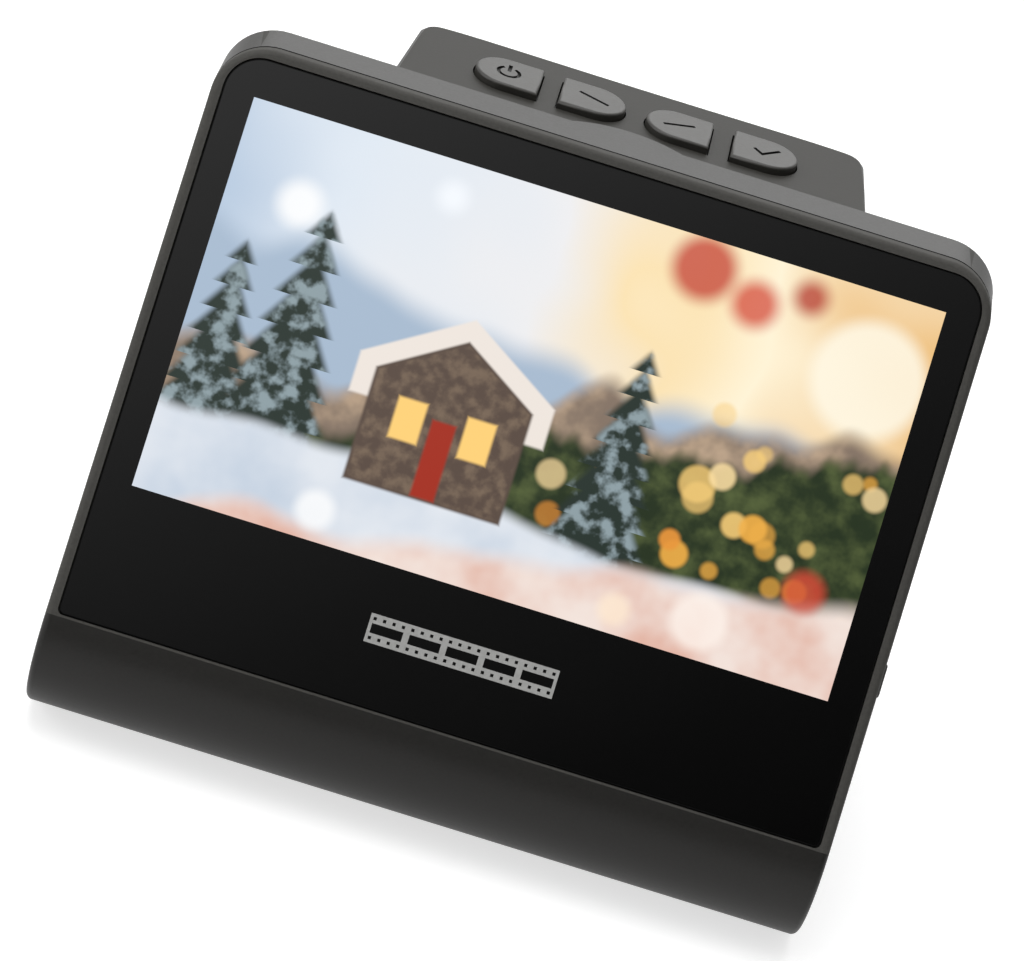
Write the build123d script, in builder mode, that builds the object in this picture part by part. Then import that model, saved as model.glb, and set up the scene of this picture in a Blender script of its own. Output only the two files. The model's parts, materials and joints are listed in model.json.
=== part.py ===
from build123d import *
from math import cos, radians, sin, tan
import os

os.makedirs("parts", exist_ok=True)

# Frame: X to the right, Y to the back, Z up. The origin is on the table under the middle.

# ---- overall body ----
BODY_W = 124.9
BODY_D = 99.2
FOOT_H = 1.0
WALL = 2.0
TILT = radians(32)
CHIN_R = 13.6
CHIN_Y = -BODY_D / 2 + CHIN_R
CHIN_Z = FOOT_H + CHIN_R
SLAB_LEN = 92.2
SLAB_TOP_DEPTH = 8.4
SLAB_CORNER_R = 8.6
BASE_TOP = 32.0
BASE_CORNER_R = 9.0
BASE_EDGE_R = 2.5
SLAB_HEEL_Y = -26.0

# Screen plane: the middle of its lower edge is where the chin's arc runs into the flat front.
OUT_Y = -cos(TILT)
OUT_Z = sin(TILT)
FRONT_Y = CHIN_Y + CHIN_R * OUT_Y
FRONT_Z = CHIN_Z + CHIN_R * OUT_Z
SCREEN = Plane(origin=(0, FRONT_Y, FRONT_Z), x_dir=(1, 0, 0), z_dir=(0, OUT_Y, OUT_Z))
FAR_SCREEN = Plane(origin=(0, FRONT_Y - BODY_D, FRONT_Z), x_dir=(1, 0, 0), z_dir=(0, OUT_Y, OUT_Z))
TOP_Y = FRONT_Y + SLAB_LEN * sin(TILT)
TOP_Z = FRONT_Z + SLAB_LEN * cos(TILT)
INWARD = (0, -OUT_Y, -OUT_Z)
BACKWARD = (0, 1, 0)
SIDEWAYS = (1, 0, 0)
UPWARD = (0, 0, 1)

# ---- tower behind the slab ----
TOWER_X = 1.5
TOWER_STEP = 0.6
TOWER_TOP = TOP_Z - TOWER_STEP
TOWER_LOW = BASE_TOP - 3.0
TOWER_TOP_W = 77.4
TOWER_TOP_REAR_W = 73.2
TOWER_TOP_REAR = 31.2
TOWER_TOP_FRONT = 6.2
TOWER_LOW_W = 82.3
TOWER_LOW_REAR_W = 79.0
TOWER_LOW_REAR = 38.6
TOWER_LOW_FRONT = -32.0
TOWER_CORNER_R = 3.5
TOWER_EDGE_C = 0.6
TONGUE_X = 0.85
TONGUE_R = 17.3
TONGUE_REACH = 2.5
TONGUE_JOIN = 1.0

# ---- front casing, glass and seam ----
GLASS_W = 121.2
GLASS_H = 90.2
GLASS_T0 = 0.5
GLASS_THICK = 1.1
GLASS_RECESS = 0.15
GLASS_GAP = 0.15
GLASS_TOP_R = 5.8
GLASS_LOW_R = 1.0
SEAM_BACK = 1.5
SEAM_GAP = 0.35
SEAM_LOW_Z = 26.0
SEAM_CHIN_Z = 13.0
SEAM_BEND_R = 7.0
FRAME_INSET = 0.75
FRAME_FRONT = 1.1
FRAME_LOW = -3.0
FRAME_BACK = 3.4
FRAME_FIT = 0.1
CABLE_ROOM = 1.0
POCKET_DEPTH = GLASS_RECESS + GLASS_THICK + 0.05
RIM_EDGE_R = 1.0

# ---- display ----
PANEL_W = 115.6
PANEL_H = 70.4
PANEL_T0 = 16.8
PANEL_FRONT = POCKET_DEPTH
PANEL_BACK = 5.2
PANEL_CORNER_R = 1.0
ACTIVE_W = 111.0
ACTIVE_H = 62.3
ACTIVE_X = -0.15
ACTIVE_T0 = 22.3
ACTIVE_DEPTH = 0.2
BRACKET_THICK = 0.8
BRACKET_W = 104.0
BRACKET_H = 58.0
BRACKET_MID_T = 49.0
BRACKET_CORNER_R = 2.0
BRACKET_SLOT_PITCH = 38.0
BRACKET_SLOT_LEN = 24.0
BRACKET_SLOT_W = 6.0
WINDOW_GAP = 0.2

# ---- boards ----
BOARD_THICK = 1.6
MAIN_W = 66.0
MAIN_H = 50.0
MAIN_T = 50.0
MAIN_STANDOFF = 2.0
MAIN_HOLE_X = 29.5
MAIN_HOLE_T = 21.5
SCREW_R = 1.0
SCREW_HEAD_R = 1.9
SCREW_HEAD_H = 1.1
POST_WALL = 0.3
SCREW_TIP = 0.2
CHIP_T = 1.1
CHIP_X = 15.0
CHIP_UP = 13.0
CHIP_DOWN = 8.0
PROCESSOR_W = 14.0
MEMORY_W = 11.0
REGULATOR_W = 8.0
REGULATOR_H = 6.0
BOARD_CORNER_R = 1.0
HOLE_PLAY = 0.1

# ---- keys ----
KEY_TOP = TOWER_TOP + 1.2
KEY_W = 10.6
KEY_D = 9.9
KEY_ROUND = 5.1
KEY_Y = 19.0
KEY_X = (-19.85, -5.85, 8.15, 22.35)
KEY_ROUND_SIDE = (-1, 1, -1, 1)
KEY_GAP = 0.25
KEY_FLANGE = 0.7
KEY_FLANGE_T = 0.8
KEY_EDGE_R = 0.5
KEY_STEM_R = 1.6
KEY_TRAVEL = 0.5
KEY_FLANGE_TOP = TOWER_TOP - WALL - 0.1
KEY_STEM_LOW = KEY_FLANGE_TOP - KEY_FLANGE_T - 1.1
SWITCH_SIZE = 6.0
SWITCH_TOP = KEY_STEM_LOW - 0.4
SWITCH_H = 3.4
SWITCH_BORE_R = 1.7
PLUNGER_LEN = 1.8
KEY_BOARD_W = 66.0
KEY_BOARD_D = 16.0
KEY_BOARD_X = 1.25
KEY_BOARD_TOP = SWITCH_TOP - SWITCH_H
KEY_POST_X = 30.5
KEY_POST_Y = 5.6
KEY_POST_R = 2.1
KEY_SCREW_GRIP = 4.0

# ---- side button ----
SIDE_T = 27.9
SIDE_DEPTH = 6.9
SIDE_LEN = 5.4
SIDE_THICK = 2.4
SIDE_OUT = 0.8
SIDE_TRAVEL = 0.5
SIDE_FLANGE = 0.6
SIDE_GAP = 0.15
SIDE_PLUNGER_R = 0.8
SIDE_PLUNGER_LEN = 1.4
SIDE_CORNER_R = 0.7
SIDE_HOLE_R = 0.8
SIDE_EDGE_R = 0.3
SIDE_SWITCH_LEN = 4.4
SIDE_SWITCH_H = 4.0
SIDE_BOARD_L = 10.0
SIDE_BOARD_W = 9.0
SIDE_BOARD_T = 0.8

# ---- film channel and insert ----
OPTIC_X = 0.0
OPTIC_Y = 10.0
CHANNEL_W = 57.2
CHANNEL_LOW = 17.4
CHANNEL_TOP = 27.5
GUIDE_LEN = 119.0
GUIDE_THICK = 2.2
RAIL_W = 1.8
GATE_W = 40.0
GATE_D = 28.0
LEG_R = 3.0
LEG_X = 54.5
INSERT_LEFT = -59.0
INSERT_RIGHT = 62.0
INSERT_NOTCH = 1.2
INSERT_W = 56.8
INSERT_FIT = 0.1
FILM_W = 35.2
FILM_GAP = 0.6
FRAME_PITCH = 38.0
FRAME_W = 36.0
FRAME_D = 24.0
FRAME_CORNER_R = 0.8
INSERT_CORNER_R = 1.0
FINGER_R = 9.0
FINGER_SINK = 1.2
EXIT_H = 3.0
EXIT_PLAY = 5.0
MOUTH_PLAY = 0.2
MOUTH_R = 1.0

# ---- light ----
LIGHT_W = 50.0
LIGHT_D = 38.0
LIGHT_WALL = 1.8
LIGHT_BOARD_LOW = FOOT_H + WALL + 0.8
LIGHT_BOARD_TOP = LIGHT_BOARD_LOW + 1.4
DIFFUSER_T = 2.0
LED_SIZE = 3.0
LED_H = 1.0
LED_PITCH_X = 10.0
LED_PITCH_Y = 9.0
LIGHT_BOX_R = 1.5
DIFFUSER_FIT = 0.1

# ---- lens and sensor ----
BRACKET_LOW = CHANNEL_TOP + GUIDE_THICK
CONE_TOP = 42.0
COLLAR_TOP = 50.0
COLLAR_R = 11.0
BARREL_R = 8.0
BARREL_LOW = 39.0
BARREL_TOP = 56.0
LENS_FIT = 0.05
SENSOR_HOUSE_W = 22.0
SENSOR_HOUSE_TOP = 63.0
SENSOR_BOARD_W = 24.0
SENSOR_BOARD_T = 1.2

# ---- underside ----
COVER_FIT = 0.2
CASE_SCREW_X = 53.0
CASE_SCREW_Y = (-27.5, 44.0)
CASE_POST_R = 3.2
CASE_HOLE_DEPTH = 12.0
PAD_R = 5.0
PAD_SINK = 0.6
PAD_X = 47.0
PAD_Y = (-23.0, 36.0)
PAD_EDGE_R = 0.4
VENT_PITCH_X = 4.0
VENT_PITCH_Y = 46.0
VENT_COUNT = 11
VENT_LEN = 10.0
VENT_W = 1.6
SPACER_R = 2.0
SCREW_SINK = 0.2
CASE_SCREW_LEN = 10.0
THREAD_R = SCREW_R + 0.3

# ---- sockets at the back ----
PORT_BOARD_LOW = FOOT_H + WALL + 3.0
PORT_BOARD_X = -13.0
PORT_BOARD_W = 70.0
PORT_BOARD_Y = 39.0
PORT_BOARD_D = 14.8
PORT_Z = PORT_BOARD_LOW + BOARD_THICK
POWER_X = -42.0
VIDEO_X = -24.0
CARD_X = 5.0
SLIM_Z = PORT_Z + 1.65
CARD_Z = PORT_Z + 1.5
POWER_W = 9.0
POWER_H = 3.3
VIDEO_W = 11.2
VIDEO_H = 3.3
SOCKET_CORNER_R = 0.5
SOCKET_PLAY = 0.3
SOCKET_WALL = 0.3
SOCKET_DEPTH = 7.4
SOCKET_MOUTH = 5.6
TONGUE_SET_BACK = 0.8
TONGUE_LEN = 5.2
POWER_TONGUE_W = 6.6
POWER_TONGUE_T = 0.7
VIDEO_TONGUE_W = 8.0
VIDEO_TONGUE_T = 0.8
CARD_BODY_W = 28.0
CARD_BODY_H = 3.2
CARD_BODY_D = 13.0
CARD_SLOT_W = 24.4
CARD_SLOT_H = 2.4
CARD_WALL = 0.8
RECESS_SINK = 0.6
RECESS_H = 8.0
RECESS_R = 1.5
RECESS_SIDE = 1.0


def slab_outline(inset: float, low: float, plane: Plane) -> Sketch:
    """Front outline with rounded top corners, shrunk by inset, from height low up, on a plane."""
    top = SLAB_LEN - inset
    with BuildSketch(plane) as outline:
        with Locations((0, (top + low) / 2)):
            Rectangle(BODY_W - 2 * inset, top - low)
        fillet(outline.vertices().group_by(Axis.Y)[-1], SLAB_CORNER_R - inset)
    return outline.sketch


def side_profile(inset: float) -> Sketch:
    """Side view of slab, chin and base without the tower, shrunk by inset."""
    rear = BODY_D / 2
    with BuildSketch(Plane.YZ.offset(inset - BODY_W / 2)) as profile:
        with BuildLine():
            Line((FRONT_Y, FRONT_Z), (TOP_Y, TOP_Z))
            Line((TOP_Y, TOP_Z), (TOP_Y + SLAB_TOP_DEPTH, TOP_Z))
            Line((TOP_Y + SLAB_TOP_DEPTH, TOP_Z), (SLAB_HEEL_Y, BASE_TOP))
            Line((SLAB_HEEL_Y, BASE_TOP), (rear, BASE_TOP))
            Line((rear, BASE_TOP), (rear, FOOT_H))
            Line((rear, FOOT_H), (CHIN_Y, FOOT_H))
            ThreePointArc((CHIN_Y, FOOT_H), (CHIN_Y - CHIN_R, CHIN_Z), (FRONT_Y, FRONT_Z))
        make_face()
        if inset > 0:
            offset(amount=-inset, kind=Kind.INTERSECTION, mode=Mode.REPLACE)
    return profile.sketch


def plan_outline(inset: float) -> Sketch:
    """Plan of the base with rounded rear corners, shrunk by inset."""
    with BuildSketch(Plane.XY) as plan:
        Rectangle(BODY_W - 2 * inset, BODY_D - 2 * inset)
        fillet(plan.vertices().group_by(Axis.Y)[-1], BASE_CORNER_R - inset)
    return plan.sketch


def tower_plan(
    height: float, front: float, rear: float, wide: float, narrow: float, inset: float
) -> Sketch:
    """Trapezoid of the tower at a height, with rounded rear corners, shrunk by inset."""
    with BuildSketch(Plane.XY.offset(height)) as plan:
        with BuildLine():
            Polyline(
                (TOWER_X - wide / 2 + inset, front),
                (TOWER_X + wide / 2 - inset, front),
                (TOWER_X + narrow / 2 - inset, rear - inset),
                (TOWER_X - narrow / 2 + inset, rear - inset),
                close=True,
            )
        make_face()
        fillet(plan.vertices().group_by(Axis.Y)[-1], TOWER_CORNER_R - inset / 2)
    return plan.sketch


def tower(inset: float) -> Part:
    """Tower from inside the base to its top, tapering upwards."""
    with BuildPart() as body:
        add(tower_plan(TOWER_LOW, TOWER_LOW_FRONT, TOWER_LOW_REAR, TOWER_LOW_W, TOWER_LOW_REAR_W, inset))
        add(
            tower_plan(
                TOWER_TOP - inset, TOWER_TOP_FRONT, TOWER_TOP_REAR, TOWER_TOP_W, TOWER_TOP_REAR_W, inset
            )
        )
        loft(ruled=True)
        if inset == 0:
            chamfer(body.faces().sort_by(Axis.Z)[-1].edges(), TOWER_EDGE_C)
    return body.part


def main_body(inset: float) -> Part:
    """Slab, chin and base as one closed solid, shrunk by inset."""
    with BuildPart() as body:
        add(side_profile(inset))
        extrude(amount=BODY_W - 2 * inset, dir=SIDEWAYS)
        add(slab_outline(inset, -BODY_D, FAR_SCREEN))
        extrude(amount=BODY_D * 3, dir=BACKWARD, mode=Mode.INTERSECT)
        add(plan_outline(inset))
        extrude(amount=BODY_D * 2, dir=UPWARD, mode=Mode.INTERSECT)
    return body.part


def front_region(grow: float) -> Part:
    """Everything in front of the seam between front casing and rear housing."""
    seam_low = FRONT_Y + (SEAM_LOW_Z - FRONT_Z) * tan(TILT) + SEAM_BACK + grow
    seam_top = TOP_Y + (BODY_D - TOP_Z) * tan(TILT) + SEAM_BACK + grow
    with BuildPart() as region:
        with BuildSketch(Plane.YZ.offset(-BODY_W)) as region_face:
            with BuildLine():
                Polyline(
                    (-BODY_D, -FOOT_H),
                    (CHIN_Y + grow, -FOOT_H),
                    (CHIN_Y + grow, SEAM_CHIN_Z),
                    (seam_low, SEAM_LOW_Z),
                    (seam_top + WALL * tan(TILT), BODY_D + WALL),
                    (-BODY_D, BODY_D + WALL),
                    close=True,
                )
            make_face()
            bends = region_face.vertices().filter_by(lambda corner: 0 < corner.Y < BASE_TOP)
            fillet(bends, SEAM_BEND_R)
        extrude(amount=2 * BODY_W)
    return region.part


def bottom_opening(inset: float, low: float, height: float) -> Part:
    """Block that fills the opening in the underside, shrunk by inset."""
    front = CHIN_Y + inset
    rear = BODY_D / 2 - WALL - inset
    with BuildPart() as block:
        with BuildSketch(Plane.XY.offset(low)) as plan:
            with Locations((0, (front + rear) / 2)):
                Rectangle(BODY_W - 2 * WALL - 2 * inset, rear - front)
            fillet(plan.vertices().group_by(Axis.Y)[-1], BASE_CORNER_R - WALL)
        extrude(amount=height)
    return block.part


def key_outline(grow: float, side: int) -> Sketch:
    """D-shaped key outline, rounded on one side, grown all round."""
    half_w = KEY_W / 2
    half_d = KEY_D / 2
    with BuildSketch() as outline:
        with BuildLine():
            Line((-side * half_w, -half_d), (side * (half_w - KEY_ROUND), -half_d))
            ThreePointArc(
                (side * (half_w - KEY_ROUND), -half_d),
                (side * half_w, 0),
                (side * (half_w - KEY_ROUND), half_d),
            )
            Line((side * (half_w - KEY_ROUND), half_d), (-side * half_w, half_d))
            Line((-side * half_w, half_d), (-side * half_w, -half_d))
        make_face()
        if grow > 0:
            offset(amount=grow, kind=Kind.INTERSECTION, mode=Mode.REPLACE)
    return outline.sketch


def finish(part: Part, name: str) -> None:
    """Label a finished piece and write its STEP file."""
    part.label = name
    export_step(part, f"parts/{name}.step")


# ---- front casing: bezel rim, frame behind the glass, chin ----
with BuildPart() as front_casing:
    add(main_body(0))
    add(front_region(0), mode=Mode.INTERSECT)
    front_face = front_casing.faces().sort_by(Axis((0, 0, 0), (0, OUT_Y, OUT_Z)))[-1]
    rim_edges = front_face.outer_wire().edges()
    fillet(rim_edges.filter_by(lambda edge: edge.center().Z > FRONT_Z + 1), RIM_EDGE_R)
    add(main_body(WALL), mode=Mode.SUBTRACT)
    add(slab_outline(FRAME_INSET, FRAME_LOW, SCREEN.offset(-FRAME_FRONT)))
    extrude(amount=FRAME_BACK - FRAME_FRONT, dir=INWARD)
    with BuildSketch(SCREEN) as pocket:
        with Locations((0, GLASS_T0 + GLASS_H / 2)):
            Rectangle(GLASS_W + 2 * GLASS_GAP, GLASS_H + 2 * GLASS_GAP)
        fillet(pocket.vertices().group_by(Axis.Y)[-1], GLASS_TOP_R)
        fillet(pocket.vertices().group_by(Axis.Y)[0], GLASS_LOW_R)
    extrude(amount=-POCKET_DEPTH, mode=Mode.SUBTRACT)
    with BuildSketch(SCREEN) as window:
        with Locations((0, PANEL_T0 + PANEL_H / 2)):
            RectangleRounded(PANEL_W + 2 * WINDOW_GAP, PANEL_H + 2 * WINDOW_GAP, PANEL_CORNER_R)
    extrude(amount=-2 * FRAME_BACK, mode=Mode.SUBTRACT)
finish(front_casing.part, "front_casing")

# ---- cover glass ----
with BuildPart() as cover_glass:
    with BuildSketch(SCREEN.offset(-GLASS_RECESS)) as pane:
        with Locations((0, GLASS_T0 + GLASS_H / 2)):
            Rectangle(GLASS_W, GLASS_H)
        fillet(pane.vertices().group_by(Axis.Y)[-1], GLASS_TOP_R - GLASS_GAP)
        fillet(pane.vertices().group_by(Axis.Y)[0], GLASS_LOW_R)
    extrude(amount=-GLASS_THICK)
finish(cover_glass.part, "cover_glass")

# ---- display panel, with its active area slightly sunk ----
with BuildPart() as display_panel:
    with BuildSketch(SCREEN.offset(-PANEL_FRONT)):
        with Locations((0, PANEL_T0 + PANEL_H / 2)):
            RectangleRounded(PANEL_W, PANEL_H, PANEL_CORNER_R)
    extrude(amount=PANEL_FRONT - PANEL_BACK)
    with BuildSketch(SCREEN.offset(-PANEL_FRONT)):
        with Locations((ACTIVE_X, ACTIVE_T0 + ACTIVE_H / 2)):
            Rectangle(ACTIVE_W, ACTIVE_H)
    extrude(amount=-ACTIVE_DEPTH, mode=Mode.SUBTRACT)
finish(display_panel.part, "display_panel")

# ---- steel bracket behind the display, with posts for the main board ----
BRACKET_BACK = PANEL_BACK + BRACKET_THICK
MAIN_FRONT = BRACKET_BACK + MAIN_STANDOFF
MAIN_BACK = MAIN_FRONT + BOARD_THICK
with BuildPart() as display_bracket:
    with BuildSketch(SCREEN.offset(-PANEL_BACK)):
        with Locations((0, BRACKET_MID_T)):
            RectangleRounded(BRACKET_W, BRACKET_H, BRACKET_CORNER_R)
            with GridLocations(BRACKET_SLOT_PITCH, 0, 3, 1):
                SlotOverall(BRACKET_SLOT_LEN, BRACKET_SLOT_W, rotation=90, mode=Mode.SUBTRACT)
    extrude(amount=-BRACKET_THICK)
    with BuildSketch(SCREEN.offset(-PANEL_BACK)):
        with Locations((0, MAIN_T)):
            with GridLocations(2 * MAIN_HOLE_X, 2 * MAIN_HOLE_T, 2, 2):
                Circle(SCREW_HEAD_R + POST_WALL)
    extrude(amount=-BRACKET_THICK - MAIN_STANDOFF)
    with BuildSketch(SCREEN.offset(-MAIN_FRONT)):
        with Locations((0, MAIN_T)):
            with GridLocations(2 * MAIN_HOLE_X, 2 * MAIN_HOLE_T, 2, 2):
                Circle(SCREW_R)
    extrude(amount=MAIN_STANDOFF, mode=Mode.SUBTRACT)
finish(display_bracket.part, "display_bracket")

# ---- main board, its chips and screws ----
with BuildPart() as main_board:
    with BuildSketch(SCREEN.offset(-MAIN_FRONT)):
        with Locations((0, MAIN_T)):
            RectangleRounded(MAIN_W, MAIN_H, 2 * BOARD_CORNER_R)
            with GridLocations(2 * MAIN_HOLE_X, 2 * MAIN_HOLE_T, 2, 2):
                Circle(SCREW_R + HOLE_PLAY, mode=Mode.SUBTRACT)
    extrude(amount=-BOARD_THICK)
finish(main_board.part, "main_board")

with BuildPart() as main_chips:
    with BuildSketch(SCREEN.offset(-MAIN_BACK)):
        with Locations((-CHIP_X, MAIN_T + CHIP_UP)):
            Rectangle(PROCESSOR_W, PROCESSOR_W)
        with Locations((CHIP_X, MAIN_T + CHIP_UP)):
            Rectangle(MEMORY_W, REGULATOR_W)
        with Locations((CHIP_X, MAIN_T - CHIP_DOWN)):
            Rectangle(REGULATOR_W, REGULATOR_H)
    extrude(amount=-CHIP_T)
finish(main_chips.part, "main_chips")

with BuildPart() as main_board_screws:
    with BuildSketch(SCREEN.offset(-MAIN_BACK)):
        with Locations((0, MAIN_T)):
            with GridLocations(2 * MAIN_HOLE_X, 2 * MAIN_HOLE_T, 2, 2):
                Circle(SCREW_HEAD_R)
    extrude(amount=-SCREW_HEAD_H)
    with BuildSketch(SCREEN.offset(-MAIN_BACK)):
        with Locations((0, MAIN_T)):
            with GridLocations(2 * MAIN_HOLE_X, 2 * MAIN_HOLE_T, 2, 2):
                Circle(SCREW_R)
    extrude(amount=BOARD_THICK + MAIN_STANDOFF - SCREW_TIP)
finish(main_board_screws.part, "main_board_screws")

# ---- rear housing: top band, tower and the body around the film channel ----
SIDE_PLANE = Plane(
    origin=SCREEN.from_local_coords((BODY_W / 2, SIDE_T, -SIDE_DEPTH)),
    x_dir=(0, sin(TILT), cos(TILT)),
    z_dir=(1, 0, 0),
)
CHANNEL_MID = (CHANNEL_LOW + CHANNEL_TOP) / 2
CHANNEL_H = CHANNEL_TOP - CHANNEL_LOW
with BuildPart() as rear_housing:
    add(main_body(0))
    base_rim = rear_housing.edges().filter_by_position(Axis.Z, BASE_TOP - 0.01, BASE_TOP + 0.01)
    fillet(base_rim.filter_by(lambda edge: edge.center().Y > SLAB_HEEL_Y + 1), BASE_EDGE_R)
    add(tower(0))
    with BuildSketch(Plane.XY.offset(TOWER_TOP)):
        with Locations((TONGUE_X, TOP_Y + SLAB_TOP_DEPTH + TONGUE_REACH - TONGUE_R)):
            Circle(TONGUE_R)
        with Locations((TONGUE_X, TOP_Y + SLAB_TOP_DEPTH - TONGUE_R - TONGUE_JOIN)):
            Rectangle(4 * TONGUE_R, 2 * TONGUE_R, mode=Mode.SUBTRACT)
    extrude(amount=TOWER_STEP)
    add(main_body(WALL), mode=Mode.SUBTRACT)
    add(tower(WALL), mode=Mode.SUBTRACT)
    add(front_region(SEAM_GAP), mode=Mode.SUBTRACT)
    add(slab_outline(FRAME_INSET - FRAME_FIT, FRAME_LOW - CABLE_ROOM, SCREEN))
    extrude(amount=FRAME_BACK + FRAME_FIT, dir=INWARD, mode=Mode.SUBTRACT)
    add(bottom_opening(0, 0, FOOT_H + 2 * WALL), mode=Mode.SUBTRACT)
    # mouth of the film channel on the right, with a shallow finger scoop above and below
    with BuildSketch(Plane.YZ.offset(BODY_W / 2 + WALL)) as mouth:
        with Locations((OPTIC_Y, CHANNEL_MID)):
            Rectangle(CHANNEL_W + 2 * MOUTH_PLAY, CHANNEL_H + 2 * MOUTH_PLAY)
        fillet(mouth.vertices(), MOUTH_R)
    extrude(amount=-3 * WALL, mode=Mode.SUBTRACT)
    with BuildSketch(Plane.YZ.offset(BODY_W / 2)):
        with Locations((OPTIC_Y, CHANNEL_MID)):
            Circle(FINGER_R)
    extrude(amount=-FINGER_SINK, mode=Mode.SUBTRACT)
    # narrow way out for the strip on the left
    with BuildSketch(Plane.YZ.offset(-BODY_W / 2 - WALL)):
        with Locations((OPTIC_Y, CHANNEL_MID)):
            SlotOverall(FILM_W + EXIT_PLAY, EXIT_H)
    extrude(amount=3 * WALL, mode=Mode.SUBTRACT)
    # key holes
    for key_x, side in zip(KEY_X, KEY_ROUND_SIDE):
        with BuildSketch(Plane.XY.offset(TOWER_TOP + WALL)):
            with Locations((key_x, KEY_Y)):
                add(key_outline(KEY_GAP, side))
        extrude(amount=-3 * WALL, mode=Mode.SUBTRACT)
    # hole of the side button
    with BuildSketch(SIDE_PLANE.offset(-2 * WALL)):
        RectangleRounded(SIDE_LEN + 2 * SIDE_GAP, SIDE_THICK + 2 * SIDE_GAP, SIDE_HOLE_R)
    extrude(amount=3 * WALL, mode=Mode.SUBTRACT)
    # sockets in a shallow recess at the back
    with BuildSketch(Plane.XZ.offset(-BODY_D / 2)):
        with Locations((PORT_BOARD_X, SLIM_Z)):
            RectangleRounded(PORT_BOARD_W - 2 * RECESS_SIDE, RECESS_H, RECESS_R)
    extrude(amount=RECESS_SINK, mode=Mode.SUBTRACT)
    with BuildSketch(Plane.XZ.offset(-BODY_D / 2 - WALL)):
        with Locations((POWER_X, SLIM_Z)):
            SlotOverall(POWER_W + 2 * SOCKET_PLAY, POWER_H + 2 * SOCKET_PLAY)
        with Locations((VIDEO_X, SLIM_Z)):
            RectangleRounded(VIDEO_W + 2 * SOCKET_PLAY, VIDEO_H + 2 * SOCKET_PLAY, SOCKET_CORNER_R)
        with Locations((CARD_X, CARD_Z)):
            RectangleRounded(CARD_SLOT_W + 2 * SOCKET_CORNER_R, CARD_SLOT_H + SOCKET_PLAY, SOCKET_CORNER_R)
    extrude(amount=3 * WALL, mode=Mode.SUBTRACT)
    # posts for the case screws
    with BuildSketch(Plane.XY.offset(FOOT_H + WALL)):
        for post_y in CASE_SCREW_Y:
            with Locations((-CASE_SCREW_X, post_y), (CASE_SCREW_X, post_y)):
                Circle(CASE_POST_R)
    extrude(amount=BASE_TOP - FOOT_H - 1.5 * WALL)
    with BuildSketch(Plane.XY.offset(FOOT_H + WALL)):
        for post_y in CASE_SCREW_Y:
            with Locations((-CASE_SCREW_X, post_y), (CASE_SCREW_X, post_y)):
                Circle(THREAD_R)
    extrude(amount=CASE_HOLE_DEPTH, mode=Mode.SUBTRACT)
    # posts for the key board
    with BuildSketch(Plane.XY.offset(KEY_BOARD_TOP)):
        with Locations((KEY_BOARD_X, KEY_Y)):
            with GridLocations(2 * KEY_POST_X, 2 * KEY_POST_Y, 2, 2):
                Circle(KEY_POST_R)
                Circle(SCREW_R, mode=Mode.SUBTRACT)
    extrude(amount=TOWER_TOP - WALL / 2 - KEY_BOARD_TOP)
finish(rear_housing.part, "rear_housing")

# ---- bottom cover, feet and case screws ----
COVER_TOP = FOOT_H + WALL
with BuildPart() as bottom_cover:
    add(bottom_opening(COVER_FIT, FOOT_H, WALL))
    with BuildSketch(Plane.XY.offset(FOOT_H)):
        for pad_y in PAD_Y:
            with Locations((-PAD_X, pad_y), (PAD_X, pad_y)):
                Circle(PAD_R + HOLE_PLAY)
    extrude(amount=PAD_SINK, mode=Mode.SUBTRACT)
    with BuildSketch(Plane.XY.offset(FOOT_H)):
        for post_y in CASE_SCREW_Y:
            with Locations((-CASE_SCREW_X, post_y), (CASE_SCREW_X, post_y)):
                Circle(THREAD_R + HOLE_PLAY)
    extrude(amount=WALL, mode=Mode.SUBTRACT)
    with BuildSketch(Plane.XY.offset(FOOT_H)):
        for post_y in CASE_SCREW_Y:
            with Locations((-CASE_SCREW_X, post_y), (CASE_SCREW_X, post_y)):
                Circle(SCREW_HEAD_R + POST_WALL)
    extrude(amount=SCREW_HEAD_H, mode=Mode.SUBTRACT)
    with BuildSketch(Plane.XY.offset(FOOT_H)):
        with Locations((0, OPTIC_Y)):
            with GridLocations(VENT_PITCH_X, VENT_PITCH_Y, VENT_COUNT, 2):
                SlotOverall(VENT_LEN, VENT_W, rotation=90)
    extrude(amount=WALL, mode=Mode.SUBTRACT)
    with BuildSketch(Plane.XY.offset(COVER_TOP)):
        with Locations((OPTIC_X, OPTIC_Y)):
            with GridLocations(LIGHT_W - 2 * SPACER_R, LIGHT_D - 2 * SPACER_R, 2, 2):
                Circle(SPACER_R)
    extrude(amount=LIGHT_BOARD_LOW - COVER_TOP)
    with BuildSketch(Plane.XY.offset(COVER_TOP)):
        with Locations((PORT_BOARD_X, PORT_BOARD_Y)):
            with GridLocations(PORT_BOARD_W - 3 * SPACER_R, PORT_BOARD_D - 2.5 * SPACER_R, 2, 2):
                Circle(SPACER_R)
    extrude(amount=PORT_BOARD_LOW - COVER_TOP)
finish(bottom_cover.part, "bottom_cover")

with BuildPart() as feet:
    with BuildSketch(Plane.XY):
        for pad_y in PAD_Y:
            with Locations((-PAD_X, pad_y), (PAD_X, pad_y)):
                Circle(PAD_R)
    extrude(amount=FOOT_H + PAD_SINK)
    fillet(feet.edges().group_by(Axis.Z)[0], PAD_EDGE_R)
finish(feet.part, "feet")

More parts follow.
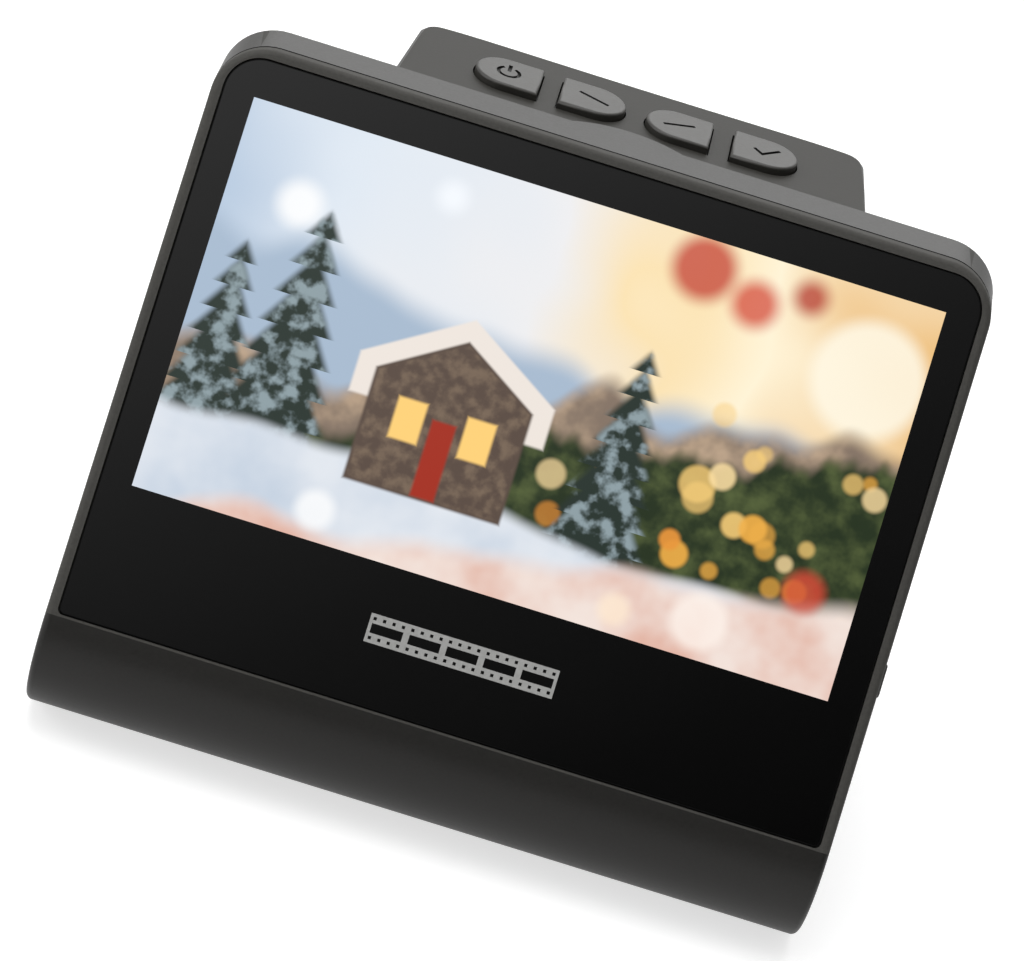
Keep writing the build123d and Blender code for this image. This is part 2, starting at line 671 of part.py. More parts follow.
with BuildPart() as case_screws:
    with BuildSketch(Plane.XY.offset(FOOT_H + SCREW_SINK)):
        for post_y in CASE_SCREW_Y:
            with Locations((-CASE_SCREW_X, post_y), (CASE_SCREW_X, post_y)):
                Circle(SCREW_HEAD_R)
    extrude(amount=SCREW_HEAD_H - SCREW_SINK)
    with BuildSketch(Plane.XY.offset(FOOT_H + SCREW_SINK)):
        for post_y in CASE_SCREW_Y:
            with Locations((-CASE_SCREW_X, post_y), (CASE_SCREW_X, post_y)):
                Circle(THREAD_R)
    extrude(amount=CASE_SCREW_LEN)
finish(case_screws.part, "case_screws")

# ---- keys, the plungers that they push, their switches and board ----
KEY_NAMES = ("return", "left", "right", "confirm")
for key_x, side, key_name in zip(KEY_X, KEY_ROUND_SIDE, KEY_NAMES):
    with BuildPart() as key:
        with BuildSketch(Plane.XY.offset(KEY_FLANGE_TOP)):
            with Locations((key_x, KEY_Y)):
                add(key_outline(0, side))
        extrude(amount=KEY_TOP - KEY_FLANGE_TOP)
        fillet(key.edges().group_by(Axis.Z)[-1], KEY_EDGE_R)
        with BuildSketch(Plane.XY.offset(KEY_FLANGE_TOP)):
            with Locations((key_x, KEY_Y)):
                add(key_outline(KEY_FLANGE, side))
        extrude(amount=-KEY_FLANGE_T)
        with BuildSketch(Plane.XY.offset(KEY_STEM_LOW)):
            with Locations((key_x, KEY_Y)):
                Circle(KEY_STEM_R)
        extrude(amount=KEY_FLANGE_TOP - KEY_STEM_LOW)
    finish(key.part, f"key_{key_name}")

    with BuildPart() as plunger:
        with BuildSketch(Plane.XY.offset(KEY_STEM_LOW)):
            with Locations((key_x, KEY_Y)):
                Circle(KEY_STEM_R)
        extrude(amount=-PLUNGER_LEN)
    finish(plunger.part, f"plunger_{key_name}")

with BuildPart() as key_switches:
    with BuildSketch(Plane.XY.offset(KEY_BOARD_TOP)):
        with Locations(*[(key_x, KEY_Y) for key_x in KEY_X]):
            Rectangle(SWITCH_SIZE, SWITCH_SIZE)
    extrude(amount=SWITCH_H)
    with BuildSketch(Plane.XY.offset(SWITCH_TOP)):
        with Locations(*[(key_x, KEY_Y) for key_x in KEY_X]):
            Circle(SWITCH_BORE_R)
    extrude(amount=-PLUNGER_LEN - KEY_TRAVEL, mode=Mode.SUBTRACT)
finish(key_switches.part, "key_switches")

with BuildPart() as key_board:
    with BuildSketch(Plane.XY.offset(KEY_BOARD_TOP)):
        with Locations((KEY_BOARD_X, KEY_Y)):
            RectangleRounded(KEY_BOARD_W, KEY_BOARD_D, BOARD_CORNER_R)
            with GridLocations(2 * KEY_POST_X, 2 * KEY_POST_Y, 2, 2):
                Circle(SCREW_R + HOLE_PLAY, mode=Mode.SUBTRACT)
    extrude(amount=-BOARD_THICK)
finish(key_board.part, "key_board")

with BuildPart() as key_board_screws:
    with BuildSketch(Plane.XY.offset(KEY_BOARD_TOP - BOARD_THICK)):
        with Locations((KEY_BOARD_X, KEY_Y)):
            with GridLocations(2 * KEY_POST_X, 2 * KEY_POST_Y, 2, 2):
                Circle(SCREW_HEAD_R)
    extrude(amount=-SCREW_HEAD_H)
    with BuildSketch(Plane.XY.offset(KEY_BOARD_TOP - BOARD_THICK)):
        with Locations((KEY_BOARD_X, KEY_Y)):
            with GridLocations(2 * KEY_POST_X, 2 * KEY_POST_Y, 2, 2):
                Circle(SCREW_R)
    extrude(amount=BOARD_THICK + KEY_SCREW_GRIP)
finish(key_board_screws.part, "key_board_screws")

# ---- side button, its plunger, switch and board ----
SIDE_INNER = -WALL - 0.1
FLANGE_T = 0.6
SIDE_STROKE = 1.0
SWITCH_FACE = SIDE_INNER - FLANGE_T - SIDE_PLUNGER_LEN / 2
with BuildPart() as side_button:
    with BuildSketch(SIDE_PLANE.offset(SIDE_INNER)):
        RectangleRounded(SIDE_LEN, SIDE_THICK, SIDE_CORNER_R)
    extrude(amount=SIDE_OUT - SIDE_INNER)
    fillet(side_button.edges().group_by(Axis.X)[-1], SIDE_EDGE_R)
    with BuildSketch(SIDE_PLANE.offset(SIDE_INNER)):
        RectangleRounded(SIDE_LEN + 2 * SIDE_FLANGE, SIDE_THICK + SIDE_FLANGE, SIDE_HOLE_R)
    extrude(amount=-FLANGE_T)
finish(side_button.part, "side_button")

with BuildPart() as side_plunger:
    with BuildSketch(SIDE_PLANE.offset(SIDE_INNER - FLANGE_T)):
        Circle(SIDE_PLUNGER_R)
    extrude(amount=-SIDE_PLUNGER_LEN)
finish(side_plunger.part, "side_plunger")

with BuildPart() as side_switch:
    with BuildSketch(SIDE_PLANE.offset(SWITCH_FACE)):
        Rectangle(SIDE_SWITCH_LEN, SIDE_THICK)
    extrude(amount=-SIDE_SWITCH_H)
    with BuildSketch(SIDE_PLANE.offset(SWITCH_FACE)):
        Circle(SIDE_PLUNGER_R + HOLE_PLAY)
    extrude(amount=-SIDE_STROKE - SIDE_TRAVEL, mode=Mode.SUBTRACT)
finish(side_switch.part, "side_switch")

SIDE_BOARD_FRONT = SIDE_DEPTH + SIDE_THICK / 2
with BuildPart() as side_board:
    with BuildSketch(SCREEN.offset(-SIDE_BOARD_FRONT)):
        with Locations((BODY_W / 2 + SWITCH_FACE - SIDE_BOARD_L / 2, SIDE_T)):
            RectangleRounded(SIDE_BOARD_L, SIDE_BOARD_W, BOARD_CORNER_R)
    extrude(amount=-SIDE_BOARD_T)
finish(side_board.part, "side_board")

# ---- film guides ----
GUIDE_W = CHANNEL_W + 2 * RAIL_W
with BuildPart() as lower_guide:
    with BuildSketch(Plane.XY.offset(CHANNEL_LOW)):
        with Locations((0, OPTIC_Y)):
            Rectangle(GUIDE_LEN, GUIDE_W)
            Rectangle(GATE_W, GATE_D, mode=Mode.SUBTRACT)
    extrude(amount=-GUIDE_THICK)
    with BuildSketch(Plane.XY.offset(CHANNEL_LOW)):
        with Locations((0, OPTIC_Y)):
            Rectangle(GUIDE_LEN, GUIDE_W)
            Rectangle(GUIDE_LEN, CHANNEL_W, mode=Mode.SUBTRACT)
    extrude(amount=CHANNEL_H)
    with BuildSketch(Plane.XY.offset(COVER_TOP)):
        with Locations((0, OPTIC_Y)):
            with GridLocations(2 * LEG_X, CHANNEL_W - 2 * LEG_R, 2, 2):
                Circle(LEG_R)
    extrude(amount=CHANNEL_LOW - GUIDE_THICK - COVER_TOP)
finish(lower_guide.part, "lower_guide")

with BuildPart() as upper_guide:
    with BuildSketch(Plane.XY.offset(CHANNEL_TOP)):
        with Locations((0, OPTIC_Y)):
            Rectangle(GUIDE_LEN, GUIDE_W)
            Rectangle(GATE_W, GATE_D, mode=Mode.SUBTRACT)
    extrude(amount=GUIDE_THICK)
finish(upper_guide.part, "upper_guide")

# ---- film insert: two halves with the strip's track between them ----
INSERT_LEN = INSERT_RIGHT - INSERT_LEFT
INSERT_MID_X = (INSERT_RIGHT + INSERT_LEFT) / 2
INSERT_LOW = CHANNEL_LOW + INSERT_FIT
INSERT_TOP = CHANNEL_TOP - 3 * INSERT_FIT
INSERT_MID = (INSERT_LOW + INSERT_TOP) / 2


def insert_half(low: float, high: float, track: float) -> Part:
    """One half of the film insert, its track side at height track."""
    with BuildPart() as half:
        with BuildSketch(Plane.XY.offset(low)):
            with Locations((INSERT_MID_X, OPTIC_Y)):
                RectangleRounded(INSERT_LEN, INSERT_W, INSERT_CORNER_R)
        extrude(amount=high - low)
        with BuildSketch(Plane.XY.offset(low)):
            with Locations((0, OPTIC_Y)):
                with GridLocations(FRAME_PITCH, 0, 3, 1):
                    RectangleRounded(FRAME_W, FRAME_D, FRAME_CORNER_R)
        extrude(amount=high - low, mode=Mode.SUBTRACT)
        with BuildSketch(Plane.XY.offset(track - FILM_GAP / 2)):
            with Locations((INSERT_MID_X, OPTIC_Y)):
                Rectangle(INSERT_LEN, FILM_W)
        extrude(amount=FILM_GAP, mode=Mode.SUBTRACT)
        with BuildSketch(Plane.YZ.offset(INSERT_RIGHT)):
            with Locations((OPTIC_Y, (low + high) / 2 + (low - track) / 4 + (high - track) / 4)):
                Rectangle(2 * FINGER_R, INSERT_NOTCH)
        extrude(amount=-INSERT_NOTCH, mode=Mode.SUBTRACT)
    return half.part


finish(insert_half(INSERT_LOW, INSERT_MID, INSERT_MID), "insert_lower")
finish(insert_half(INSERT_MID, INSERT_TOP, INSERT_MID), "insert_upper")

# ---- light under the film ----
LIGHT_TOP = CHANNEL_LOW - GUIDE_THICK
with BuildPart() as light_board:
    with BuildSketch(Plane.XY.offset(LIGHT_BOARD_LOW)):
        with Locations((OPTIC_X, OPTIC_Y)):
            RectangleRounded(LIGHT_W, LIGHT_D, BOARD_CORNER_R)
    extrude(amount=LIGHT_BOARD_TOP - LIGHT_BOARD_LOW)
finish(light_board.part, "light_board")

with BuildPart() as light_leds:
    with BuildSketch(Plane.XY.offset(LIGHT_BOARD_TOP)):
        with Locations((OPTIC_X, OPTIC_Y)):
            with GridLocations(LED_PITCH_X, LED_PITCH_Y, 4, 3):
                Rectangle(LED_SIZE, LED_SIZE)
    extrude(amount=LED_H)
finish(light_leds.part, "light_leds")

with BuildPart() as light_box:
    with BuildSketch(Plane.XY.offset(LIGHT_BOARD_TOP)):
        with Locations((OPTIC_X, OPTIC_Y)):
            RectangleRounded(LIGHT_W, LIGHT_D, LIGHT_BOX_R)
            Rectangle(LIGHT_W - 4 * LIGHT_WALL, LIGHT_D - 4 * LIGHT_WALL, mode=Mode.SUBTRACT)
    extrude(amount=LIGHT_TOP - LIGHT_BOARD_TOP)
    with BuildSketch(Plane.XY.offset(LIGHT_TOP)):
        with Locations((OPTIC_X, OPTIC_Y)):
            Rectangle(LIGHT_W - 2 * LIGHT_WALL, LIGHT_D - 2 * LIGHT_WALL)
    extrude(amount=-DIFFUSER_T, mode=Mode.SUBTRACT)
finish(light_box.part, "light_box")

with BuildPart() as diffuser:
    with BuildSketch(Plane.XY.offset(LIGHT_TOP)):
        with Locations((OPTIC_X, OPTIC_Y)):
            Rectangle(
                LIGHT_W - 2 * LIGHT_WALL - 2 * DIFFUSER_FIT,
                LIGHT_D - 2 * LIGHT_WALL - 2 * DIFFUSER_FIT,
            )
    extrude(amount=-DIFFUSER_T)
finish(diffuser.part, "diffuser")

# ---- lens bracket, barrel and glasses ----
CONE_LOW_W = 50.0
CONE_LOW_D = 38.0
CONE_TOP_W = 26.0
SKIRT_H = 2.0
SKIRT_W = 62.0
SKIRT_D = 42.0
SKIRT_R = 3.0
BRACKET_HOLE_X = 56.0
BRACKET_HOLE_Y = 32.0
with BuildPart() as lens_bracket:
    with BuildSketch(Plane.XY.offset(BRACKET_LOW)):
        with Locations((OPTIC_X, OPTIC_Y)):
            RectangleRounded(SKIRT_W, SKIRT_D, SKIRT_R)
    extrude(amount=SKIRT_H)
    with BuildSketch(Plane.XY.offset(BRACKET_LOW + SKIRT_H)):
        with Locations((OPTIC_X, OPTIC_Y)):
            Rectangle(CONE_LOW_W, CONE_LOW_D)
    with BuildSketch(Plane.XY.offset(CONE_TOP)):
        with Locations((OPTIC_X, OPTIC_Y)):
            Rectangle(CONE_TOP_W, CONE_TOP_W)
    loft()
    with BuildSketch(Plane.XY.offset(CONE_TOP)):
        with Locations((OPTIC_X, OPTIC_Y)):
            Circle(COLLAR_R)
    extrude(amount=COLLAR_TOP - CONE_TOP)
    with BuildSketch(Plane.XY.offset(BRACKET_LOW)):
        with Locations((OPTIC_X, OPTIC_Y)):
            Rectangle(CONE_LOW_W - 2 * WALL, CONE_LOW_D - 2 * WALL)
    with BuildSketch(Plane.XY.offset(CONE_TOP - WALL)):
        with Locations((OPTIC_X, OPTIC_Y)):
            Rectangle(CONE_TOP_W - 2 * WALL, CONE_TOP_W - 2 * WALL)
    loft(mode=Mode.SUBTRACT)
    with BuildSketch(Plane.XY.offset(BRACKET_LOW)):
        with Locations((OPTIC_X, OPTIC_Y)):
            Circle(BARREL_R + LENS_FIT)
    extrude(amount=COLLAR_TOP - BRACKET_LOW, mode=Mode.SUBTRACT)
    with BuildSketch(Plane.XY.offset(BRACKET_LOW)):
        with Locations((OPTIC_X, OPTIC_Y)):
            with GridLocations(BRACKET_HOLE_X, BRACKET_HOLE_Y, 2, 2):
                Circle(SCREW_R + HOLE_PLAY)
    extrude(amount=SKIRT_H, mode=Mode.SUBTRACT)
finish(lens_bracket.part, "lens_bracket")

with BuildPart() as bracket_screws:
    with BuildSketch(Plane.XY.offset(BRACKET_LOW + SKIRT_H)):
        with Locations((OPTIC_X, OPTIC_Y)):
            with GridLocations(BRACKET_HOLE_X, BRACKET_HOLE_Y, 2, 2):
                Circle(SCREW_HEAD_R)
    extrude(amount=SCREW_HEAD_H)
    with BuildSketch(Plane.XY.offset(BRACKET_LOW)):
        with Locations((OPTIC_X, OPTIC_Y)):
            with GridLocations(BRACKET_HOLE_X, BRACKET_HOLE_Y, 2, 2):
                Circle(SCREW_R)
    extrude(amount=SKIRT_H)
finish(bracket_screws.part, "bracket_screws")

LOWER_LENS_R = 6.0
LENS_SEAT = 1.2
LOWER_SEAT_H = 3.2
UPPER_SEAT_H = 5.0
UPPER_LENS_R = 4.6
UPPER_LEDGE = 1.0
UPPER_LENS_SET = 4.0
LOWER_LENS_Z = BARREL_LOW + LENS_SEAT
UPPER_LENS_Z = BARREL_TOP - UPPER_LENS_SET
with BuildPart() as lens_barrel:
    with BuildSketch(Plane.XZ) as wall_section:
        with BuildLine():
            Polyline(
                (LOWER_LENS_R, BARREL_LOW),
                (BARREL_R, BARREL_LOW),
                (BARREL_R, BARREL_TOP),
                (UPPER_LENS_R, BARREL_TOP),
                (UPPER_LENS_R, UPPER_LENS_Z),
                (UPPER_LENS_R - UPPER_LEDGE, UPPER_LENS_Z),
                (UPPER_LENS_R - UPPER_LEDGE, LOWER_LENS_Z + UPPER_SEAT_H),
                (LOWER_LENS_R - LENS_SEAT, LOWER_LENS_Z + LOWER_SEAT_H),
                (LOWER_LENS_R, LOWER_LENS_Z + LOWER_SEAT_H),
                close=True,
            )
        make_face()
    revolve(axis=Axis.Z)
lens_barrel.part.locate(Location((OPTIC_X, OPTIC_Y, 0)))
finish(lens_barrel.part, "lens_barrel")


def lens(radius: float, low: float, edge: float, bulge: float) -> Part:
    """Biconvex glass of a given edge thickness, its lower rim at height low."""
    curve_r = (radius**2 + bulge**2) / (2 * bulge)
    with BuildPart() as glass:
        with Locations((OPTIC_X, OPTIC_Y, low + edge / 2)):
            Cylinder(radius, edge + 2 * bulge)
        with Locations((OPTIC_X, OPTIC_Y, low + edge + bulge - curve_r)):
            Sphere(curve_r, mode=Mode.INTERSECT)
        with Locations((OPTIC_X, OPTIC_Y, low - bulge + curve_r)):
            Sphere(curve_r, mode=Mode.INTERSECT)
    return glass.part


finish(lens(LOWER_LENS_R - LENS_FIT, LOWER_LENS_Z + 0.9, 1.9, 0.9), "lens_lower")
finish(lens(UPPER_LENS_R - LENS_FIT, UPPER_LENS_Z + 0.4, 1.6, 0.5), "lens_upper")

# ---- sensor housing, filter, sensor and its board ----
FILTER_W = 11.0
FILTER_T = 0.6
FILTER_LEDGE = 0.8
HOUSE_CORNER_R = 1.5
SENSOR_W = 8.4
SENSOR_D = 7.2
SENSOR_T = 1.4
FILTER_LOW = BARREL_TOP + 1.0
with BuildPart() as sensor_housing:
    with BuildSketch(Plane.XY.offset(COLLAR_TOP)):
        with Locations((OPTIC_X, OPTIC_Y)):
            RectangleRounded(SENSOR_HOUSE_W, SENSOR_HOUSE_W, HOUSE_CORNER_R)
            Circle(BARREL_R + LENS_FIT, mode=Mode.SUBTRACT)
    extrude(amount=BARREL_TOP - COLLAR_TOP)
    with BuildSketch(Plane.XY.offset(BARREL_TOP)):
        with Locations((OPTIC_X, OPTIC_Y)):
            RectangleRounded(SENSOR_HOUSE_W, SENSOR_HOUSE_W, HOUSE_CORNER_R)
            Rectangle(FILTER_W - 2 * FILTER_LEDGE, FILTER_W - 2 * FILTER_LEDGE, mode=Mode.SUBTRACT)
    extrude(amount=FILTER_LOW - BARREL_TOP)
    with BuildSketch(Plane.XY.offset(FILTER_LOW)):
        with Locations((OPTIC_X, OPTIC_Y)):
            RectangleRounded(SENSOR_HOUSE_W, SENSOR_HOUSE_W, HOUSE_CORNER_R)
            Rectangle(FILTER_W + 2 * HOLE_PLAY, FILTER_W + 2 * HOLE_PLAY, mode=Mode.SUBTRACT)
    extrude(amount=SENSOR_HOUSE_TOP - FILTER_LOW)
finish(sensor_housing.part, "sensor_housing")

with BuildPart() as infrared_filter:
    with BuildSketch(Plane.XY.offset(FILTER_LOW)):
        with Locations((OPTIC_X, OPTIC_Y)):
            Rectangle(FILTER_W, FILTER_W)
    extrude(amount=FILTER_T)
finish(infrared_filter.part, "infrared_filter")

with BuildPart() as image_sensor:
    with BuildSketch(Plane.XY.offset(SENSOR_HOUSE_TOP)):
        with Locations((OPTIC_X, OPTIC_Y)):
            Rectangle(SENSOR_W, SENSOR_D)
    extrude(amount=-SENSOR_T)
finish(image_sensor.part, "image_sensor")

with BuildPart() as sensor_board:
    with BuildSketch(Plane.XY.offset(SENSOR_HOUSE_TOP)):
        with Locations((OPTIC_X, OPTIC_Y)):
            RectangleRounded(SENSOR_BOARD_W, SENSOR_BOARD_W, BOARD_CORNER_R)
    extrude(amount=SENSOR_BOARD_T)
finish(sensor_board.part, "sensor_board")

# ---- socket board and sockets ----
with BuildPart() as port_board:
    with BuildSketch(Plane.XY.offset(PORT_BOARD_LOW)):
        with Locations((PORT_BOARD_X, PORT_BOARD_Y)):
            RectangleRounded(PORT_BOARD_W, PORT_BOARD_D, BOARD_CORNER_R)
    extrude(amount=BOARD_THICK)
finish(port_board.part, "port_board")

SOCKET_FRONT = BODY_D / 2 - RECESS_SINK - SOCKET_WALL
with BuildPart() as power_socket:
    with BuildSketch(Plane.XZ.offset(-SOCKET_FRONT)):
        with Locations((POWER_X, SLIM_Z)):
            SlotOverall(POWER_W, POWER_H)
    extrude(amount=SOCKET_DEPTH)
    with BuildSketch(Plane.XZ.offset(-SOCKET_FRONT)):
        with Locations((POWER_X, SLIM_Z)):
            SlotOverall(POWER_W - 2 * SOCKET_WALL, POWER_H - 2 * SOCKET_WALL)
    extrude(amount=SOCKET_MOUTH, mode=Mode.SUBTRACT)
    with BuildSketch(Plane.XZ.offset(TONGUE_SET_BACK - SOCKET_FRONT)):
        with Locations((POWER_X, SLIM_Z)):
            Rectangle(POWER_TONGUE_W, POWER_TONGUE_T)
    extrude(amount=TONGUE_LEN)
finish(power_socket.part, "power_socket")

with BuildPart() as video_socket:
    with BuildSketch(Plane.XZ.offset(-SOCKET_FRONT)):
        with Locations((VIDEO_X, SLIM_Z)):
            RectangleRounded(VIDEO_W, VIDEO_H, SOCKET_CORNER_R)
    extrude(amount=SOCKET_DEPTH)
    with BuildSketch(Plane.XZ.offset(-SOCKET_FRONT)):
        with Locations((VIDEO_X, SLIM_Z)):
            RectangleRounded(VIDEO_W - 2 * SOCKET_WALL, VIDEO_H - 2 * SOCKET_WALL, SOCKET_WALL)
    extrude(amount=SOCKET_MOUTH, mode=Mode.SUBTRACT)
    with BuildSketch(Plane.XZ.offset(TONGUE_SET_BACK - SOCKET_FRONT)):
        with Locations((VIDEO_X, SLIM_Z + SOCKET_WALL)):
            Rectangle(VIDEO_TONGUE_W, VIDEO_TONGUE_T)
    extrude(amount=TONGUE_LEN)
finish(video_socket.part, "video_socket")

CARD_FRONT = BODY_D / 2 - WALL - HOLE_PLAY
with BuildPart() as card_socket:
    with BuildSketch(Plane.XZ.offset(-CARD_FRONT)):
        with Locations((CARD_X, PORT_Z + CARD_BODY_H / 2)):
            Rectangle(CARD_BODY_W, CARD_BODY_H)
    extrude(amount=CARD_BODY_D)
    with BuildSketch(Plane.XZ.offset(-CARD_FRONT)):
        with Locations((CARD_X, CARD_Z)):
            Rectangle(CARD_SLOT_W, CARD_SLOT_H)
    extrude(amount=CARD_BODY_D - CARD_WALL, mode=Mode.SUBTRACT)
finish(card_socket.part, "card_socket")

# ---- flat cables ----
CABLE_T = 0.3
SENSOR_CABLE_Z = SENSOR_HOUSE_TOP + SENSOR_BOARD_T
BOARD_REACH = MAIN_BACK / cos(TILT)


def board_back_y(height: float) -> float:
    """Y of the main board's back face at a height."""
    return FRONT_Y + (height - FRONT_Z) * tan(TILT) + BOARD_REACH


SENSOR_CABLE_TOP = SENSOR_CABLE_Z + 8.0
SENSOR_CABLE_END = SENSOR_CABLE_TOP + 6.0
SENSOR_CABLE_W = 10.0
with BuildPart() as sensor_cable:
    with BuildSketch(Plane.YZ.offset(-SENSOR_CABLE_W / 2)):
        with BuildLine():
            Polyline(
                (OPTIC_Y - 6.0, SENSOR_CABLE_Z),
                (OPTIC_Y - 6.0, SENSOR_CABLE_Z + CABLE_T),
                (OPTIC_Y - 11.0, SENSOR_CABLE_Z + CABLE_T),
                (board_back_y(SENSOR_CABLE_TOP) + 2 * CABLE_T, SENSOR_CABLE_TOP),
                (board_back_y(SENSOR_CABLE_END) + CABLE_T, SENSOR_CABLE_END),
                (board_back_y(SENSOR_CABLE_END), SENSOR_CABLE_END),
                (board_back_y(SENSOR_CABLE_TOP), SENSOR_CABLE_TOP),
                (OPTIC_Y - 11.2, SENSOR_CABLE_Z),
                close=True,
            )
        make_face()
    extrude(amount=SENSOR_CABLE_W)
finish(sensor_cable.part, "sensor_cable")

CABLE_LOW_T = PANEL_T0 - 3.0
CABLE_BOARD_T = MAIN_T - MAIN_H / 2 + 6.0
DISPLAY_CABLE_W = 18.0
CABLE_PLANE = Plane(
    origin=(-DISPLAY_CABLE_W / 2, FRONT_Y, FRONT_Z),
    x_dir=(0, sin(TILT), cos(TILT)),
    z_dir=(1, 0, 0),
)
with BuildPart() as display_cable:
    with BuildSketch(CABLE_PLANE):
        with BuildLine():
            Polyline(
                (PANEL_T0, -4.2),
                (CABLE_LOW_T + 1.5, -4.4),
                (CABLE_LOW_T, -6.0),
                (CABLE_LOW_T, 1.5 - MAIN_BACK),
                (CABLE_LOW_T + 1.5, -MAIN_BACK - CABLE_T),
                (CABLE_BOARD_T, -MAIN_BACK - CABLE_T),
                (CABLE_BOARD_T, -MAIN_BACK),
                (CABLE_LOW_T + 1.6, -MAIN_BACK),
                (CABLE_LOW_T + CABLE_T, 1.6 - MAIN_BACK),
                (CABLE_LOW_T + CABLE_T, -6.1),
                (CABLE_LOW_T + 1.6, -4.7),
                (PANEL_T0, -4.5),
                close=True,
            )
        make_face()
    extrude(amount=DISPLAY_CABLE_W)
finish(display_cable.part, "display_cable")
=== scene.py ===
import json
import logging
import math
import random
from dataclasses import dataclass
from enum import Enum
from typing import Any, Callable

import bmesh
import bpy
from mathutils import Matrix, Vector

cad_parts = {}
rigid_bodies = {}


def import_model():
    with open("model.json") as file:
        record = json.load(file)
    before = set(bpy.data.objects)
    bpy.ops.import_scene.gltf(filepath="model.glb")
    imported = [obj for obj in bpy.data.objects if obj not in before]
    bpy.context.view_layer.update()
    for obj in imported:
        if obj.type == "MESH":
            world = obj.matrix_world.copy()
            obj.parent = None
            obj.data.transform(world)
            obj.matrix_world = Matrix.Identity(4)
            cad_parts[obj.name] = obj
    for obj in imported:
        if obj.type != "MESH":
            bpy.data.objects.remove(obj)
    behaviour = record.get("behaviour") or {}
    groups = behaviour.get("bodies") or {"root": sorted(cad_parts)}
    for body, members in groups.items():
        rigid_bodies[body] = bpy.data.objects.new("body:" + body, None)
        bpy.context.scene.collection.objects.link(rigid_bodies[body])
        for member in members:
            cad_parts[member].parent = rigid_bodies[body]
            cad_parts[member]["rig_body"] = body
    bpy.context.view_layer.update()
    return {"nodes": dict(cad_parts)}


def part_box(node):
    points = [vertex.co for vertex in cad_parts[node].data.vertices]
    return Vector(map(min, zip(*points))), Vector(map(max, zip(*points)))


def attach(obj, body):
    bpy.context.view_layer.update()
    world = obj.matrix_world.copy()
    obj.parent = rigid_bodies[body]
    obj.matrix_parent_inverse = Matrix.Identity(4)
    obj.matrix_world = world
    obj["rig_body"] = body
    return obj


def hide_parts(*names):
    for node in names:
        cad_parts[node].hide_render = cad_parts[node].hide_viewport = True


log = logging.getLogger("film_scanner")

MM = 0.001
MERGE_DISTANCE = 1e-6  # m
SAME_LEVEL = 1e-6  # mm
FACING = 0.9  # least cosine between a direction and the normal of a face that faces it
WHITE = (1.0, 1.0, 1.0, 1.0)

Colour = tuple[float, float, float, float]
Point = tuple[float, float]
Nodes = dict[str, bpy.types.Object]
Source = bpy.types.Node | bpy.types.NodeSocket


def paint(text: str) -> Colour:
    """Turn an sRGB hex colour into linear red, green, blue and alpha.

    Args:
        text: Six hex digits, with or without a leading hash.

    Returns:
        Linear components with an alpha of one.
    """
    digits = text.lstrip("#")
    parts = [int(digits[i : i + 2], 16) / 255 for i in (0, 2, 4)]
    red, green, blue = (p / 12.92 if p <= 0.04045 else ((p + 0.055) / 1.055) ** 2.4 for p in parts)
    return (red, green, blue, 1.0)


def add_node(
    tree: bpy.types.NodeTree, kind: str, feeds: dict[str | int, Any] | None = None, **settings: Any
) -> bpy.types.Node:
    """Add one node to a tree with its settings, values and links.

    Args:
        tree: The node tree that gets the node.
        kind: Blender's name for the kind of node, after the word ShaderNode.
        feeds: Input name or index to a value, a socket, or a node that feeds it by its first output.
        settings: Properties of the node.

    Returns:
        The new node.
    """
    node = tree.nodes.new("ShaderNode" + kind)
    for name, value in settings.items():
        setattr(node, name, value)
    for key, value in (feeds or {}).items():
        if isinstance(value, bpy.types.Node):
            value = value.outputs[0]
        if isinstance(value, bpy.types.NodeSocket):
            tree.links.new(value, node.inputs[key])
        else:
            node.inputs[key].default_value = value
    return node


def new_material(name: str) -> tuple[bpy.types.Material, bpy.types.NodeTree, bpy.types.NodeSocket]:
    """Start an empty node material.

    Args:
        name: Common name of the material and how its surface was made.

    Returns:
        The material, its tree, and the object coordinates in metres.
    """
    material = bpy.data.materials.new(name)
    material.use_nodes = True
    tree = material.node_tree
    tree.nodes.clear()
    return material, tree, add_node(tree, "TexCoord").outputs["Object"]


def finish_material(tree: bpy.types.NodeTree, feeds: dict[str | int, Any]) -> None:
    """End a material's tree in one principled surface.

    Args:
        tree: The material's tree.
        feeds: What the surface shader's sockets get.
    """
    shader = add_node(tree, "BsdfPrincipled", feeds)
    add_node(tree, "OutputMaterial", {"Surface": shader})


def clouded(
    tree: bpy.types.NodeTree, coords: bpy.types.NodeSocket, size: float, detail: float, first: str,
    second: str,
) -> tuple[bpy.types.Node, bpy.types.NodeSocket]:
    """Let two colours take turns in clouds of a real size.

    Args:
        tree: The material's tree.
        coords: Object coordinates in metres.
        size: Size of a cloud in mm.
        detail: Octaves of smaller clouds in it.
        first: Colour where the noise is low.
        second: Colour where it is high.

    Returns:
        The noise and the colour.
    """
    cloud = add_node(tree, "TexNoise", {"Vector": coords, "Scale": 1 / (size * MM), "Detail": detail})
    feeds = {0: cloud, 6: paint(first), 7: paint(second)}
    return cloud, add_node(tree, "Mix", feeds, data_type="RGBA").outputs[2]


def set_stops(ramp: bpy.types.ColorRamp, stops: list[tuple[float, Colour]]) -> None:
    """Give a new colour ramp its stops.

    Args:
        ramp: The ramp.
        stops: Place from zero to one and colour of each stop, in rising order.
    """
    ramp.elements.remove(ramp.elements[1])
    ramp.elements[0].position, ramp.elements[0].color = stops[0]
    for place, colour in stops[1:]:
        ramp.elements.new(place).color = colour


